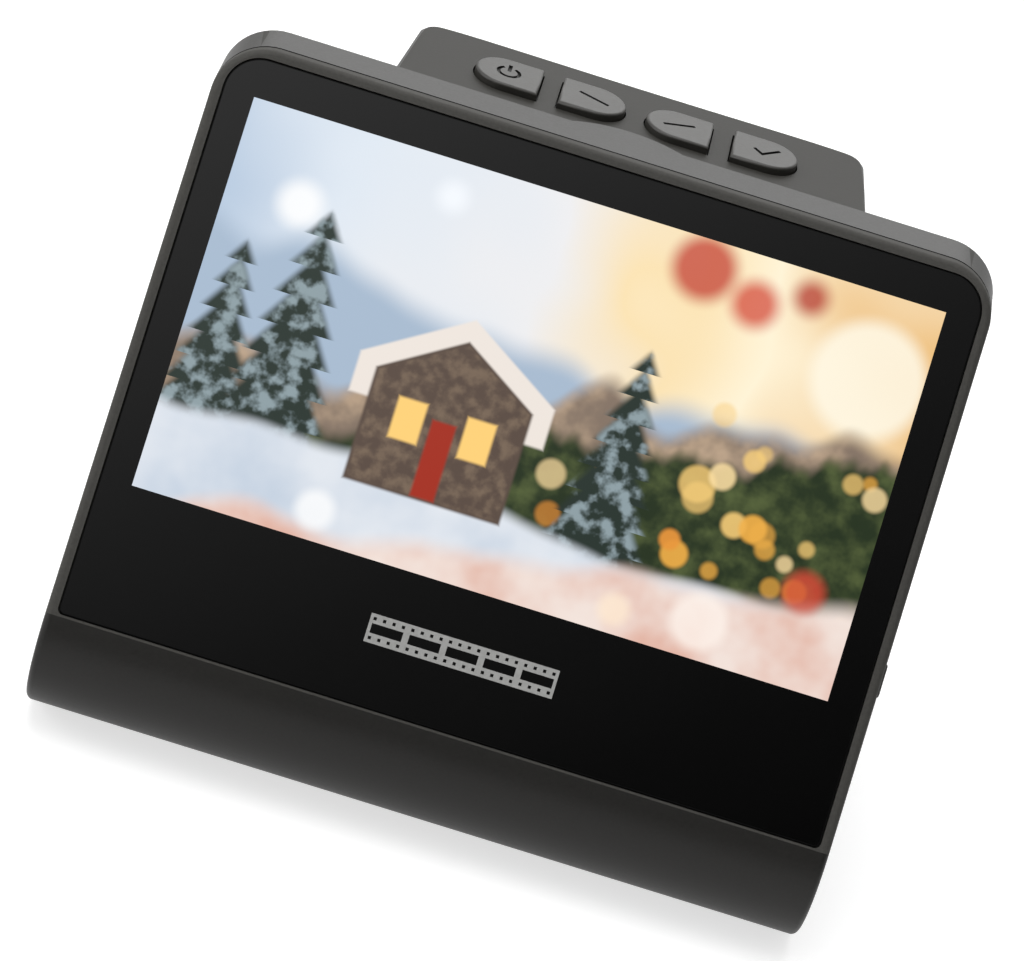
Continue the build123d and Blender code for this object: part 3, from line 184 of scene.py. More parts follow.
@dataclass(frozen=True)
class ScreenPlane:
    """Slanted front of the scanner: s runs right, t runs up the slope, in mm."""

    front_y: float = -47.5335
    front_z: float = 21.807
    tilt: float = math.radians(32)

    @property
    def turn(self) -> float:
        """Angle about X that stands a flat XY drawing up into the plane."""
        return math.pi / 2 - self.tilt

    @property
    def origin(self) -> Vector:
        """Middle of the plane's lower edge, in metres."""
        return Vector((0.0, self.front_y, self.front_z)) * MM

    @property
    def outward(self) -> Vector:
        """Direction out of the screen."""
        return Vector((0.0, -math.cos(self.tilt), math.sin(self.tilt)))

    def matrix(self) -> Matrix:
        """Matrix from drawing coordinates in mm to the scene in metres."""
        return Matrix.Translation(self.origin) @ Matrix.Rotation(self.turn, 4, "X") @ Matrix.Scale(MM, 4)


SCREEN = ScreenPlane()


# ---- making and finishing pieces ----


def make_object(
    name: str, mesh: bmesh.types.BMesh, materials: list[bpy.types.Material], body: str
) -> bpy.types.Object:
    """Turn a finished bmesh into a named object that rides on a body.

    Args:
        name: Name of the piece.
        mesh: The shape in metres, which is freed here.
        materials: Finishes in the order of the faces' indices.
        body: CAD body that carries the piece.

    Returns:
        The linked object.
    """
    bmesh.ops.recalc_face_normals(mesh, faces=mesh.faces[:])
    data = bpy.data.meshes.new(name)
    mesh.to_mesh(data)
    mesh.free()
    for material in materials:
        data.materials.append(material)
    piece = bpy.data.objects.new(name, data)
    bpy.context.scene.collection.objects.link(piece)
    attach(piece, body)
    return piece


def report(piece: bpy.types.Object, words: str) -> None:
    """Log a piece by its name and what it is."""
    log.info("%s: %s", piece.name, words)


def dress(nodes: Nodes, names: list[str], material: bpy.types.Material) -> None:
    """Give CAD nodes a finish.

    Args:
        nodes: The frame's nodes by name.
        names: The nodes that get the finish.
        material: The finish.
    """
    for name in names:
        data = nodes[name].data
        data.materials.clear()
        data.materials.append(material)
        report(nodes[name], material.name)


def to_metres(mesh: bmesh.types.BMesh) -> None:
    """Turn a shape that was drawn in mm into metres."""
    bmesh.ops.scale(mesh, vec=(MM, MM, MM), verts=mesh.verts[:])


def add_bar(mesh: bmesh.types.BMesh, start: Vector, end: Vector, wide: float, deep: float) -> None:
    """Add a straight stroke, as a block with its ends half a width past the points.

    Args:
        mesh: The bmesh that gets the stroke.
        start: Middle of one end.
        end: Middle of the other end.
        wide: Width of the stroke.
        deep: Height of the stroke, half above and half below the points.
    """
    run = end - start
    angle = math.atan2(run.y, run.x)
    place = Matrix.Translation((start + end) / 2) @ Matrix.Rotation(angle, 4, "Z")
    size = Matrix.Diagonal((run.length + wide, wide, deep, 1))
    bmesh.ops.create_cube(mesh, size=1.0, matrix=place @ size)


def thicken(mesh: bmesh.types.BMesh, rise: float) -> list[bmesh.types.BMFace]:
    """Give a flat drawing a thickness along Z.

    Args:
        mesh: The drawing, whose faces are kept.
        rise: Height of the new faces over the drawing, in mm.

    Returns:
        The new faces.
    """
    copy = bmesh.ops.extrude_face_region(mesh, geom=mesh.faces[:], use_keep_orig=True)["geom"]
    moved = [part for part in copy if isinstance(part, bmesh.types.BMVert)]
    bmesh.ops.translate(mesh, verts=moved, vec=(0, 0, rise))
    return [part for part in copy if isinstance(part, bmesh.types.BMFace)]


def engrave(
    nodes: Nodes, node: str, name: str, cutter: bmesh.types.BMesh, groove: bpy.types.Material
) -> bpy.types.Object:
    """Cut grooves into a merged copy of a CAD node and put the copy in its place.

    Args:
        nodes: The frame's nodes by name.
        node: The CAD node that the piece stands for, already dressed.
        name: Name of the piece.
        cutter: Closed shapes in metres that are taken away, freed here.
        groove: Finish of the cut faces.

    Returns:
        The engraved piece.
    """
    solid = bmesh.new()
    solid.from_mesh(nodes[node].data)
    bmesh.ops.remove_doubles(solid, verts=solid.verts[:], dist=MERGE_DISTANCE)
    piece = make_object(name, solid, list(nodes[node].data.materials), nodes[node]["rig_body"])
    bmesh.ops.recalc_face_normals(cutter, faces=cutter.faces[:])
    tool_data = bpy.data.meshes.new("cutter")
    cutter.to_mesh(tool_data)
    cutter.free()
    tool_data.materials.append(groove)
    tool = bpy.data.objects.new("cutter", tool_data)
    bpy.context.scene.collection.objects.link(tool)
    cut = piece.modifiers.new("cut", "BOOLEAN")
    cut.operation = "DIFFERENCE"
    cut.solver = "EXACT"
    cut.material_mode = "TRANSFER"
    cut.use_self = True
    cut.object = tool
    graph = bpy.context.evaluated_depsgraph_get()
    result = bpy.data.meshes.new_from_object(piece.evaluated_get(graph))
    piece.modifiers.clear()
    piece.data = result
    bpy.data.objects.remove(tool)
    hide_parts(node)
    return piece


# ---- finishes ----


@dataclass(frozen=True)
class MouldedPlastic:
    """Injection-moulded plastic or rubber with an even spark-eroded satin surface.

    The grain gives the eye a faint powdery sparkle in the highlights and no clear reflection.
    """

    name: str
    base: str
    patch: str
    roughness: float = 0.46
    specular: float = 0.4
    ior: float = 1.53
    grain: float = 0.45  # mm; a real spark-eroded texture is about 0.1 mm, too fine to show
    relief: float = 0.01  # mm
    cloud: float = 24.0  # mm; slow change of tone over a moulding
    speck: float = 0.1  # how much a grain lightens or darkens the colour
    satin: float = 0.06  # how much a grain changes the roughness

    def material(self) -> bpy.types.Material:
        """Build the material.

        Returns:
            The material.
        """
        material, tree, coords = new_material(self.name)
        tone = clouded(tree, coords, self.cloud, 3.0, self.base, self.patch)[1]
        grain = add_node(
            tree, "TexNoise", {"Vector": coords, "Scale": 1 / (self.grain * MM), "Detail": 2.0}
        )
        speck_range = {"From Min": 0.3, "From Max": 0.7, "To Min": 1 - self.speck, "To Max": 1 + self.speck}
        speck = add_node(tree, "MapRange", {"Value": grain} | speck_range)
        colour = add_node(tree, "VectorMath", {0: tone, "Scale": speck}, operation="SCALE")
        rough_range = {"To Min": self.roughness - self.satin, "To Max": self.roughness + self.satin}
        rough = add_node(tree, "MapRange", {"Value": grain} | rough_range)
        bump = add_node(tree, "Bump", {"Height": grain, "Distance": self.relief * MM, "Strength": 1.0})
        finish_material(
            tree,
            {
                "Base Color": colour,
                "Roughness": rough,
                "Specular IOR Level": self.specular,
                "IOR": self.ior,
                "Normal": bump,
            },
        )
        return material


@dataclass(frozen=True)
class WorkedMetal:
    """Zinc or tin plated steel with fine marks of its rolling along Y.

    The marks give the eye thin streaks that break up its reflections.
    """

    name: str
    base: str
    roughness: float = 0.3
    swing: float = 0.3  # how far a mark changes the roughness, as a share of it
    shade: Point = (0.88, 1.08)  # colour's strength from the darkest to the lightest mark
    line: float = 0.6  # mm; real rolling marks are about 0.05 mm, too fine to show
    stretch: float = 0.08

    def material(self) -> bpy.types.Material:
        """Build the material.

        Returns:
            The material.
        """
        material, tree, coords = new_material(self.name)
        drawn = add_node(tree, "Mapping", {"Vector": coords, "Scale": (1.0, self.stretch, 1.0)})
        marks = add_node(tree, "TexNoise", {"Vector": drawn, "Scale": 1 / (self.line * MM), "Detail": 3.0})
        low, high = self.roughness * (1 - self.swing), self.roughness * (1 + self.swing)
        rough = add_node(tree, "MapRange", {"Value": marks, "To Min": low, "To Max": high})
        dark, light = self.shade
        shade = add_node(tree, "MapRange", {"Value": marks, "To Min": dark, "To Max": light})
        colour = add_node(tree, "VectorMath", {0: paint(self.base)[:3], "Scale": shade}, operation="SCALE")
        finish_material(tree, {"Base Color": colour, "Metallic": 1.0, "Roughness": rough})
        return material


@dataclass(frozen=True)
class BackPrintedGlass:
    """Toughened soda-lime glass, polished, over a screen-printed black back.

    It reads as a deep, even black under one clear, weak reflection.
    """

    name: str = "Toughened glass, polished, black back print"
    ink: str = "#040404"
    haze: str = "#060606"
    cloud: float = 18.0  # mm; slow change in the print's depth

    def material(self) -> bpy.types.Material:
        """Build the material.

        Returns:
            The material.
        """
        material, tree, coords = new_material(self.name)
        cloud, tone = clouded(tree, coords, self.cloud, 2.0, self.ink, self.haze)
        rough = add_node(tree, "MapRange", {"Value": cloud, "To Min": 0.05, "To Max": 0.08})
        finish_material(tree, {"Base Color": tone, "Roughness": rough, "IOR": 1.5})
        return material


@dataclass(frozen=True)
class PrintedBoard:
    """Glass-fibre epoxy board with green solder mask over copper tracks and tinned pads."""

    name: str = "Glass-fibre board, green solder mask"
    mask: str = "#1d5c36"
    track: str = "#2a7646"
    tin: str = "#b9b6a8"
    cell: float = 3.2  # mm; spacing of the routed fields
    turns: float = 9.0  # tracks round a field, per cell
    bare: float = 0.6  # share of a turn between its tracks
    pad: float = 2.2  # mm; spacing of the vias
    pad_size: float = 0.16  # radius of a via, as a share of their spacing
    relief: float = 0.03  # mm

    def material(self) -> bpy.types.Material:
        """Build the material.

        Returns:
            The material.
        """
        material, tree, coords = new_material(self.name)
        field = add_node(
            tree, "TexVoronoi", {"Vector": coords, "Scale": 1 / (self.cell * MM)}, distance="CHEBYCHEV"
        )
        steps = add_node(tree, "Math", {0: field, 1: self.turns}, operation="MULTIPLY")
        lines = add_node(tree, "Math", {0: steps}, operation="FRACT")
        tracks = add_node(tree, "Math", {0: lines, 1: self.bare}, operation="GREATER_THAN")
        dots = add_node(tree, "TexVoronoi", {"Vector": coords, "Scale": 1 / (self.pad * MM)})
        pads = add_node(tree, "Math", {0: dots, 1: self.pad_size}, operation="LESS_THAN")
        green = {0: tracks, 6: paint(self.mask), 7: paint(self.track)}
        mask = add_node(tree, "Mix", green, data_type="RGBA").outputs[2]
        colour = add_node(tree, "Mix", {0: pads, 6: mask, 7: paint(self.tin)}, data_type="RGBA")
        bump = add_node(tree, "Bump", {"Height": tracks, "Distance": self.relief * MM, "Strength": 1.0})
        surface = {"Base Color": colour.outputs[2], "Metallic": pads, "Roughness": 0.32, "Normal": bump}
        finish_material(tree, surface)
        return material


@dataclass(frozen=True)
class CoatedGlass:
    """Optical glass, polished, with a thin coating that tints it where it is seen on edge."""

    name: str
    clear: str
    edge: str
    roughness: float = 0.02
    transmission: float = 1.0
    ior: float = 1.52
    dust: float = 3.0  # mm; faint unevenness of the polish
    dull: float = 0.03  # how much rougher it is at most

    def material(self) -> bpy.types.Material:
        """Build the material.

        Returns:
            The material.
        """
        material, tree, coords = new_material(self.name)
        facing = add_node(tree, "LayerWeight", {"Blend": 0.4}).outputs["Facing"]
        coat = {0: facing, 6: paint(self.clear), 7: paint(self.edge)}
        tone = add_node(tree, "Mix", coat, data_type="RGBA")
        dust = add_node(tree, "TexNoise", {"Vector": coords, "Scale": 1 / (self.dust * MM), "Detail": 2.0})
        rough_range = {"To Min": self.roughness, "To Max": self.roughness + self.dull}
        rough = add_node(tree, "MapRange", {"Value": dust} | rough_range)
        finish_material(
            tree,
            {
                "Base Color": tone.outputs[2],
                "Roughness": rough,
                "Transmission Weight": self.transmission,
                "IOR": self.ior,
            },
        )
        return material


@dataclass(frozen=True)
class FlatCable:
    """Polyimide film over parallel copper tracks: amber with fine lighter lines along it."""

    name: str = "Polyimide film, amber, copper tracks"
    film: str = "#8f5218"
    copper: str = "#c98a3c"
    pitch: float = 1.0  # mm; a real pitch of 0.5 mm is too fine to show

    def material(self) -> bpy.types.Material:
        """Build the material.

        Returns:
            The material.
        """
        material, tree, coords = new_material(self.name)
        tracks = add_node(
            tree,
            "TexWave",
            {"Vector": coords, "Scale": 1 / (self.pitch * MM) / math.tau, "Distortion": 0.0},
        ).outputs["Fac"]
        stripes = {0: tracks, 6: paint(self.film), 7: paint(self.copper)}
        colour = add_node(tree, "Mix", stripes, data_type="RGBA")
        finish_material(tree, {"Base Color": colour.outputs[2], "Roughness": 0.28, "IOR": 1.7})
        return material


@dataclass(frozen=True)
class ScreenInk:
    """Screen-printed grey ink with the slight mottle of its mesh."""

    name: str = "Screen-printed ink, silver grey"
    thick: str = "#b4b4b2"
    thin: str = "#9c9c9a"
    mottle: float = 0.7  # mm

    def material(self) -> bpy.types.Material:
        """Build the material.

        Returns:
            The material.
        """
        material, tree, coords = new_material(self.name)
        tone = clouded(tree, coords, self.mottle, 2.0, self.thin, self.thick)[1]
        finish_material(tree, {"Base Color": tone, "Roughness": 0.5, "Specular IOR Level": 0.3})
        return material


# ---- picture on the display ----


@dataclass(frozen=True)
class Patches:
    """Soft patches that break up a colour."""

    spot: float  # mm; size of a patch
    level: float  # noise level above which a patch shows
    soft: float = 0.1  # half of the noise range over which it fades in


@dataclass
class Canvas:
    """Picture under way, with all places and sizes in mm on the screen plane."""

    tree: bpy.types.NodeTree
    flat: bpy.types.Node
    boughs: int = 9  # layers on a fir
    bough_reach: float = 0.05  # how far a layer steps out, as a share of the fir's height
    fir_slope: float = 0.2  # half width of a fir per mm below its tip
    fir_edge: Point = (-0.4, 1.4)  # depths inside a fir's outline where it starts and where it is full
    house_edge: float = 0.35  # half of the blurred width of a house's edge
    haze: float = 26.0  # size of a bank of haze
    haze_swing: float = 46.0  # how far the haze pushes the sky's colours across

    def __post_init__(self) -> None:
        """Split the place into its two directions, and start with nothing drawn."""
        axes = add_node(self.tree, "SeparateXYZ", {0: self.flat})
        self.across = axes.outputs["X"]
        self.up = axes.outputs["Y"]
        self.picture: Source | None = None

    def lay(self, mask: Source, colour: str, patches: Patches | None = None) -> None:
        """Lay a colour over the picture so far, where the mask is.

        Args:
            mask: Coverage from zero to one.
            colour: Colour that is laid on.
            patches: What the mask is broken up into, if it is.
        """
        if patches:
            spots = {"Vector": self.flat, "Scale": 1 / patches.spot, "Detail": 3.0}
            noise = add_node(self.tree, "TexNoise", spots)
            fade = {"From Min": patches.level - patches.soft, "From Max": patches.level + patches.soft}
            shown = add_node(
                self.tree, "MapRange", {"Value": noise} | fade, interpolation_type="SMOOTHSTEP"
            )
            mask = add_node(self.tree, "Math", {0: mask, 1: shown}, operation="MULTIPLY")
        layers = {0: mask, 6: self.picture, 7: paint(colour)}
        self.picture = add_node(self.tree, "Mix", layers, data_type="RGBA").outputs[2]

    def sky(self, left: float, right: float) -> None:
        """Start with blue-white haze that warms to cream and gold.

        Args:
            left: Where the haze is coldest.
            right: Where it is warmest.
        """
        clouds = {"Vector": self.flat, "Scale": 1 / self.haze, "Detail": 1.0}
        noise = add_node(self.tree, "TexNoise", clouds)
        drift = {0: noise, 1: self.haze_swing, 2: self.across}
        warp = add_node(self.tree, "Math", drift, operation="MULTIPLY_ADD")
        warmth = add_node(self.tree, "MapRange", {"Value": warp, "From Min": left, "From Max": right})
        ramp = add_node(self.tree, "ValToRGB", {"Fac": warmth})
        stops = (
            (0.0, "#b9cbe0"), (0.22, "#dfe8f2"), (0.45, "#eeeef0"),
            (0.62, "#fbe3b4"), (0.8, "#fff3d6"), (1.0, "#e9b15a"),
        )
        set_stops(ramp.color_ramp, [(place, paint(colour)) for place, colour in stops])
        self.picture = ramp

    def ridge(
        self, level: float, swing: float, width: float, slope: float, soft: float, shift: float,
        rough: float = 1.0,
    ) -> bpy.types.Node:
        """Mask for everything below a wandering skyline.

        Args:
            level: Mean height of the skyline in the middle of the screen.
            swing: How far it wanders up and down.
            width: Typical width of one hill.
            slope: Rise of the skyline per mm to the right.
            soft: Half of the blurred width of its edge.
            shift: Moves the pattern, so that each skyline is its own.
            rough: Octaves of smaller bumps on the hills.

        Returns:
            The mask.
        """
        tree = self.tree
        run = add_node(tree, "Math", {0: self.across, 1: 1 / width, 2: shift}, operation="MULTIPLY_ADD")
        hills = add_node(tree, "TexNoise", {"W": run, "Scale": 1.0, "Detail": rough}, noise_dimensions="1D")
        rise = add_node(tree, "Math", {0: hills, 1: 2 * swing, 2: level - swing}, operation="MULTIPLY_ADD")
        skyline = add_node(tree, "Math", {0: self.across, 1: slope, 2: rise}, operation="MULTIPLY_ADD")
        depth = add_node(tree, "Math", {0: skyline, 1: self.up}, operation="SUBTRACT")
        return add_node(
            tree, "MapRange", {"Value": depth, "From Min": -soft, "From Max": soft},
            interpolation_type="SMOOTHSTEP",
        )

    def disc(self, s: float, t: float, radius: float, soft: float, strength: float, colour: str) -> None:
        """Lay on one out-of-focus light.

        Args:
            s: Middle, across.
            t: Middle, up.
            radius: Radius of the disc.
            soft: Half of the blurred width of its edge.
            strength: How much it covers at its middle.
            colour: Its colour.
        """
        away = add_node(self.tree, "VectorMath", {0: self.flat, 1: (s, t, 0.0)}, operation="DISTANCE")
        fade = {"From Min": radius + soft, "From Max": radius - soft, "To Max": strength}
        mask = add_node(
            self.tree, "MapRange", {"Value": away.outputs["Value"]} | fade,
            interpolation_type="SMOOTHSTEP",
        )
        self.lay(mask, colour)

    def off_middle(self, s: float) -> bpy.types.Node:
        """Distance across from an upright line at s."""
        side = add_node(self.tree, "Math", {0: self.across, 1: s}, operation="SUBTRACT")
        return add_node(self.tree, "Math", {0: side}, operation="ABSOLUTE")

    def fir(self, s: float, foot: float, tall: float) -> bpy.types.Node:
        """Mask for one fir: a tall triangle whose sides step out at each layer of boughs.

        Args:
            s: Middle of the trunk, across.
            foot: Height of its foot.
            tall: Height of the fir.

        Returns:
            The mask.
        """
        tree = self.tree
        drop = add_node(tree, "Math", {0: foot + tall, 1: self.up}, operation="SUBTRACT")
        layer = add_node(tree, "Math", {0: drop, 1: self.boughs / tall}, operation="MULTIPLY")
        step = add_node(tree, "Math", {0: layer}, operation="FRACT")
        sweep = add_node(tree, "Math", {0: step, 1: self.bough_reach * tall}, operation="MULTIPLY")
        half = add_node(tree, "Math", {0: drop, 1: self.fir_slope, 2: sweep}, operation="MULTIPLY_ADD")
        depth = add_node(tree, "Math", {0: half, 1: self.off_middle(s)}, operation="SUBTRACT")
        outer, inner = self.fir_edge
        mask = add_node(
            tree, "MapRange", {"Value": depth, "From Min": outer, "From Max": inner},
            interpolation_type="SMOOTHSTEP",
        )
        below_tip = add_node(tree, "MapRange", {"Value": drop})
        return add_node(tree, "Math", {0: mask, 1: below_tip}, operation="MULTIPLY")

    def gable(self, s: float, top: float, half: float, fall: float, foot: float) -> bpy.types.Node:
        """Mask for a house front: a box under two falling roof lines.

        Args:
            s: Middle, across.
            top: Height of the ridge.
            half: Half of the width.
            fall: Drop of the roof per mm away from the middle.
            foot: Height of its foot.

        Returns:
            The mask.
        """
        tree = self.tree
        reach = self.off_middle(s)
        under = add_node(tree, "Math", {0: top, 1: self.up}, operation="SUBTRACT")
        slope = add_node(tree, "Math", {0: reach, 1: fall}, operation="MULTIPLY")
        roof = add_node(tree, "Math", {0: under, 1: slope}, operation="SUBTRACT")
        wall = add_node(tree, "Math", {0: half, 1: reach}, operation="SUBTRACT")
        floor = add_node(tree, "Math", {0: self.up, 1: foot}, operation="SUBTRACT")
        narrow = add_node(tree, "Math", {0: roof, 1: wall}, operation="MINIMUM")
        inside = add_node(tree, "Math", {0: narrow, 1: floor}, operation="MINIMUM")
        edge = {"From Min": -self.house_edge, "From Max": self.house_edge}
        return add_node(tree, "MapRange", {"Value": inside} | edge, interpolation_type="SMOOTHSTEP")


@dataclass(frozen=True)
class LitPicture:
    """Backlit display under the glass, showing a winter valley with a cabin and soft lights."""

    name: str = "Liquid crystal display, lit, under polished glass"
    left: float = -55.65
    right: float = 55.35
    low: float = 22.3
    high: float = 84.6
    cold: float = 18.0  # mm from the left edge to the coldest haze, before it wanders
    warm: float = 26.0  # mm past the right edge to the warmest haze
    cabin: float = -13.0  # mm; middle of the cabin, across
    pitch: float = 0.62  # fall of its roof
    lights: int = 24
    seed: int = 11

    def land(self, canvas: Canvas) -> None:
        """Draw hills, forest, scattered lights and firs, from far to near.

        Args:
            canvas: The picture so far.
        """
        far = canvas.ridge(level=60.0, swing=9.0, width=26.0, slope=-0.08, soft=3.0, shift=3.0)
        canvas.lay(far, "#a8bbd0")
        hills = canvas.ridge(level=53.0, swing=10.0, width=19.0, slope=0.14, soft=2.2, shift=7.2)
        canvas.lay(hills, "#857466")
        canvas.lay(hills, "#c3a98e", Patches(spot=7.0, level=0.55, soft=0.2))
        forest = canvas.ridge(level=47.0, swing=8.0, width=16.0, slope=0.2, soft=1.6, shift=1.5, rough=3.0)
        canvas.lay(forest, "#26331f")
        canvas.lay(forest, "#56623a", Patches(spot=5.0, level=0.57, soft=0.2))
        draw = random.Random(self.seed)
        for _ in range(self.lights):
            s, t = draw.uniform(4.0, 54.0), draw.uniform(33.0, 60.0)
            radius, strength = draw.uniform(1.1, 3.0), draw.uniform(0.5, 0.9)
            colour = draw.choice(("#f0b048", "#f8cf7a", "#e8963a", "#ffe2a6"))
            canvas.disc(s, t, radius, soft=0.5, strength=strength, colour=colour)
        for s, foot, tall in ((-50.0, 28.0, 36.0), (-39.0, 28.0, 44.0), (14.0, 30.0, 36.0)):
            fir = canvas.fir(s, foot, tall)
            canvas.lay(fir, "#29352f")
            canvas.lay(fir, "#8fa0a6", Patches(spot=3.0, level=0.54))
        field = canvas.ridge(level=35.0, swing=5.0, width=34.0, slope=-0.05, soft=1.4, shift=5.0)
        canvas.lay(field, "#e4e9f0")
        canvas.lay(field, "#c3d0e0", Patches(spot=16.0, level=0.55, soft=0.25))

    def house(self, canvas: Canvas) -> None:
        """Draw the cabin with its snowy roof, log wall, windows and door.

        Args:
            canvas: The picture so far.
        """
        canvas.lay(canvas.gable(self.cabin, top=62.0, half=15.5, fall=self.pitch, foot=46.0), "#efe6de")
        canvas.lay(canvas.gable(self.cabin, top=58.5, half=12.5, fall=self.pitch, foot=33.0), "#5b4c43")
        logs = canvas.gable(self.cabin, top=58.0, half=12.0, fall=self.pitch, foot=33.4)
        canvas.lay(logs, "#7a6858", Patches(spot=2.4, level=0.54, soft=0.16))
        for s in (self.cabin - 5.5, self.cabin + 5.5):
            canvas.lay(canvas.gable(s, top=47.5, half=2.3, fall=0.0, foot=41.0), "#ffd27a")
        canvas.lay(canvas.gable(self.cabin, top=45.5, half=1.9, fall=0.0, foot=33.4), "#a5301f")

    def material(self) -> bpy.types.Material:
        """Build the material.

        Returns:
            The material.
        """
        material, tree, coords = new_material(self.name)
        plane = {"Location": SCREEN.origin, "Rotation": (SCREEN.turn, 0.0, 0.0), "Scale": (MM, MM, MM)}
        flat = add_node(tree, "Mapping", {"Vector": coords} | plane, vector_type="TEXTURE")
        canvas = Canvas(tree, flat)
        canvas.sky(self.left + self.cold, self.right + self.warm)
        for s, t, radius, colour in (
            (-44.0, 71.0, 3.4, "#ffffff"), (-22.0, 79.0, 2.2, "#f6faff"), (47.0, 71.0, 9.0, "#fff8e4"),
            (18.0, 80.0, 5.0, "#c62a1f"), (27.0, 77.0, 3.6, "#d6402a"), (35.0, 80.5, 2.6, "#b8261e"),
        ):
            canvas.disc(s, t, radius, soft=1.8, strength=0.85, colour=colour)
        self.land(canvas)
        self.house(canvas)
        drift = canvas.ridge(level=28.0, swing=5.0, width=30.0, slope=0.14, soft=2.2, shift=9.0)
        canvas.lay(drift, "#f3e4dc")
        canvas.lay(drift, "#dfa996", Patches(spot=14.0, level=0.55, soft=0.25))
        for s, t, radius, colour in (
            (33.0, 28.0, 4.4, "#fff4ec"), (47.0, 37.0, 3.2, "#d24a36"), (-28.0, 27.0, 3.0, "#ffffff"),
            (20.0, 26.0, 2.4, "#ffe9d0"),
        ):
            canvas.disc(s, t, radius, soft=1.2, strength=0.75, colour=colour)
        surface = {"Base Color": paint("#050505"), "Roughness": 0.05, "IOR": 1.5}
        finish_material(tree, surface | {"Emission Color": canvas.picture, "Emission Strength": 1.0})
        return material


CASING = MouldedPlastic("Moulded ABS, charcoal, spark-eroded", "#242320", "#282725", specular=0.37)
# Front casing: the rear housing's charcoal plastic painted darker, as painted shade on the chin and bezel
SHADED_FRONT = MouldedPlastic("Moulded ABS, near-black, spark-eroded", "#1d1c1a", "#21201e", specular=0.26)
COARSE = MouldedPlastic(
    "Moulded ABS, charcoal, coarse spark-eroded", "#2a2926", "#2f2e2a", roughness=0.6, specular=0.26
)
# Rim round the glass: the front casing's plastic painted lighter, as a painted highlight on its rounded
# edge
LIT_RIM = MouldedPlastic(
    "Moulded ABS rim, lightened as painted highlight", "#444340", "#4a4946", roughness=0.6, specular=0.15
)
# Joint faces between the shells: near-black as painted shade in the gap
SEAM_SHADE = MouldedPlastic("Moulded ABS joint face, painted shade", "#0c0c0c", "#101010", roughness=0.8, specular=0.1)
# Glass sides and front chamfer: near-black as painted shade in the gap round the glass
GAP_SHADE_EDGE = MouldedPlastic(
    "Glass edge, painted gap shade", "#060606", "#0a0a0a", roughness=0.7, specular=0.1
)
KEYS = MouldedPlastic("Moulded ABS key, charcoal satin", "#2c2a27", "#31302c", roughness=0.43)
# Cut faces of the key marks: the key plastic painted darker, as painted shade in the grooves
GROOVE_SHADE = MouldedPlastic("Moulded ABS groove, painted shade", "#161615", "#1b1b1a", roughness=0.6, specular=0.25)
GUIDE = MouldedPlastic("Moulded ABS guide, matt black", "#1a1a1a", "#1f1f1f", roughness=0.6)
INSERT = MouldedPlastic(
    "Moulded polystyrene film holder, satin black", "#1f1f20", "#252526", roughness=0.38
)
BARREL = MouldedPlastic("Moulded polycarbonate, matt black", "#161616", "#1c1c1c", roughness=0.66)
RUBBER = MouldedPlastic(
    "Moulded rubber foot, matt black", "#1b1b1b", "#232323", roughness=0.82, specular=0.25
)
NYLON = MouldedPlastic("Moulded nylon, natural white", "#dcdad0", "#e6e4da", roughness=0.45)
SWITCH = MouldedPlastic("Moulded switch body, black", "#1d1d1d", "#242424", roughness=0.5)
OPAL = MouldedPlastic("Opal acrylic, moulded", "#e9e9e5", "#f2f2ef", roughness=0.35)
MASK_WHITE = MouldedPlastic("Board with white solder mask", "#dfe0dc", "#e9eae6", roughness=0.4)
PHOSPHOR = MouldedPlastic("Silicone with yellow phosphor", "#e8cf57", "#f1dd7c", roughness=0.3, grain=0.3)
EPOXY = MouldedPlastic("Moulded epoxy chip package", "#1b1c1e", "#232427", roughness=0.55, grain=0.3)
ZINC_PLATE = WorkedMetal("Pressed steel, zinc plated", "#b9bcbf", roughness=0.34)
ZINC_SCREW = WorkedMetal("Turned steel screw, zinc plated", "#a9abad", roughness=0.26, stretch=1.0)
TIN_SHELL = WorkedMetal("Drawn steel shell, tin plated", "#c6c7c6", roughness=0.22)
GOLD_CONTACT = WorkedMetal("Stamped contact, gold plated", "#d8b25a", roughness=0.2)
LENS = CoatedGlass("Optical glass, coated", "#f4f8ff", "#8fa4e6")
FILTER = CoatedGlass("Blue-green filter glass", "#bfe6e6", "#6fb6c4")
SENSOR = CoatedGlass("Sensor window over silicon", "#1a1426", "#2c4a5a", transmission=0.0)
PANEL = MouldedPlastic("Display module, black film edge", "#18191a", "#202122", roughness=0.3)


# ---- front of the scanner ----


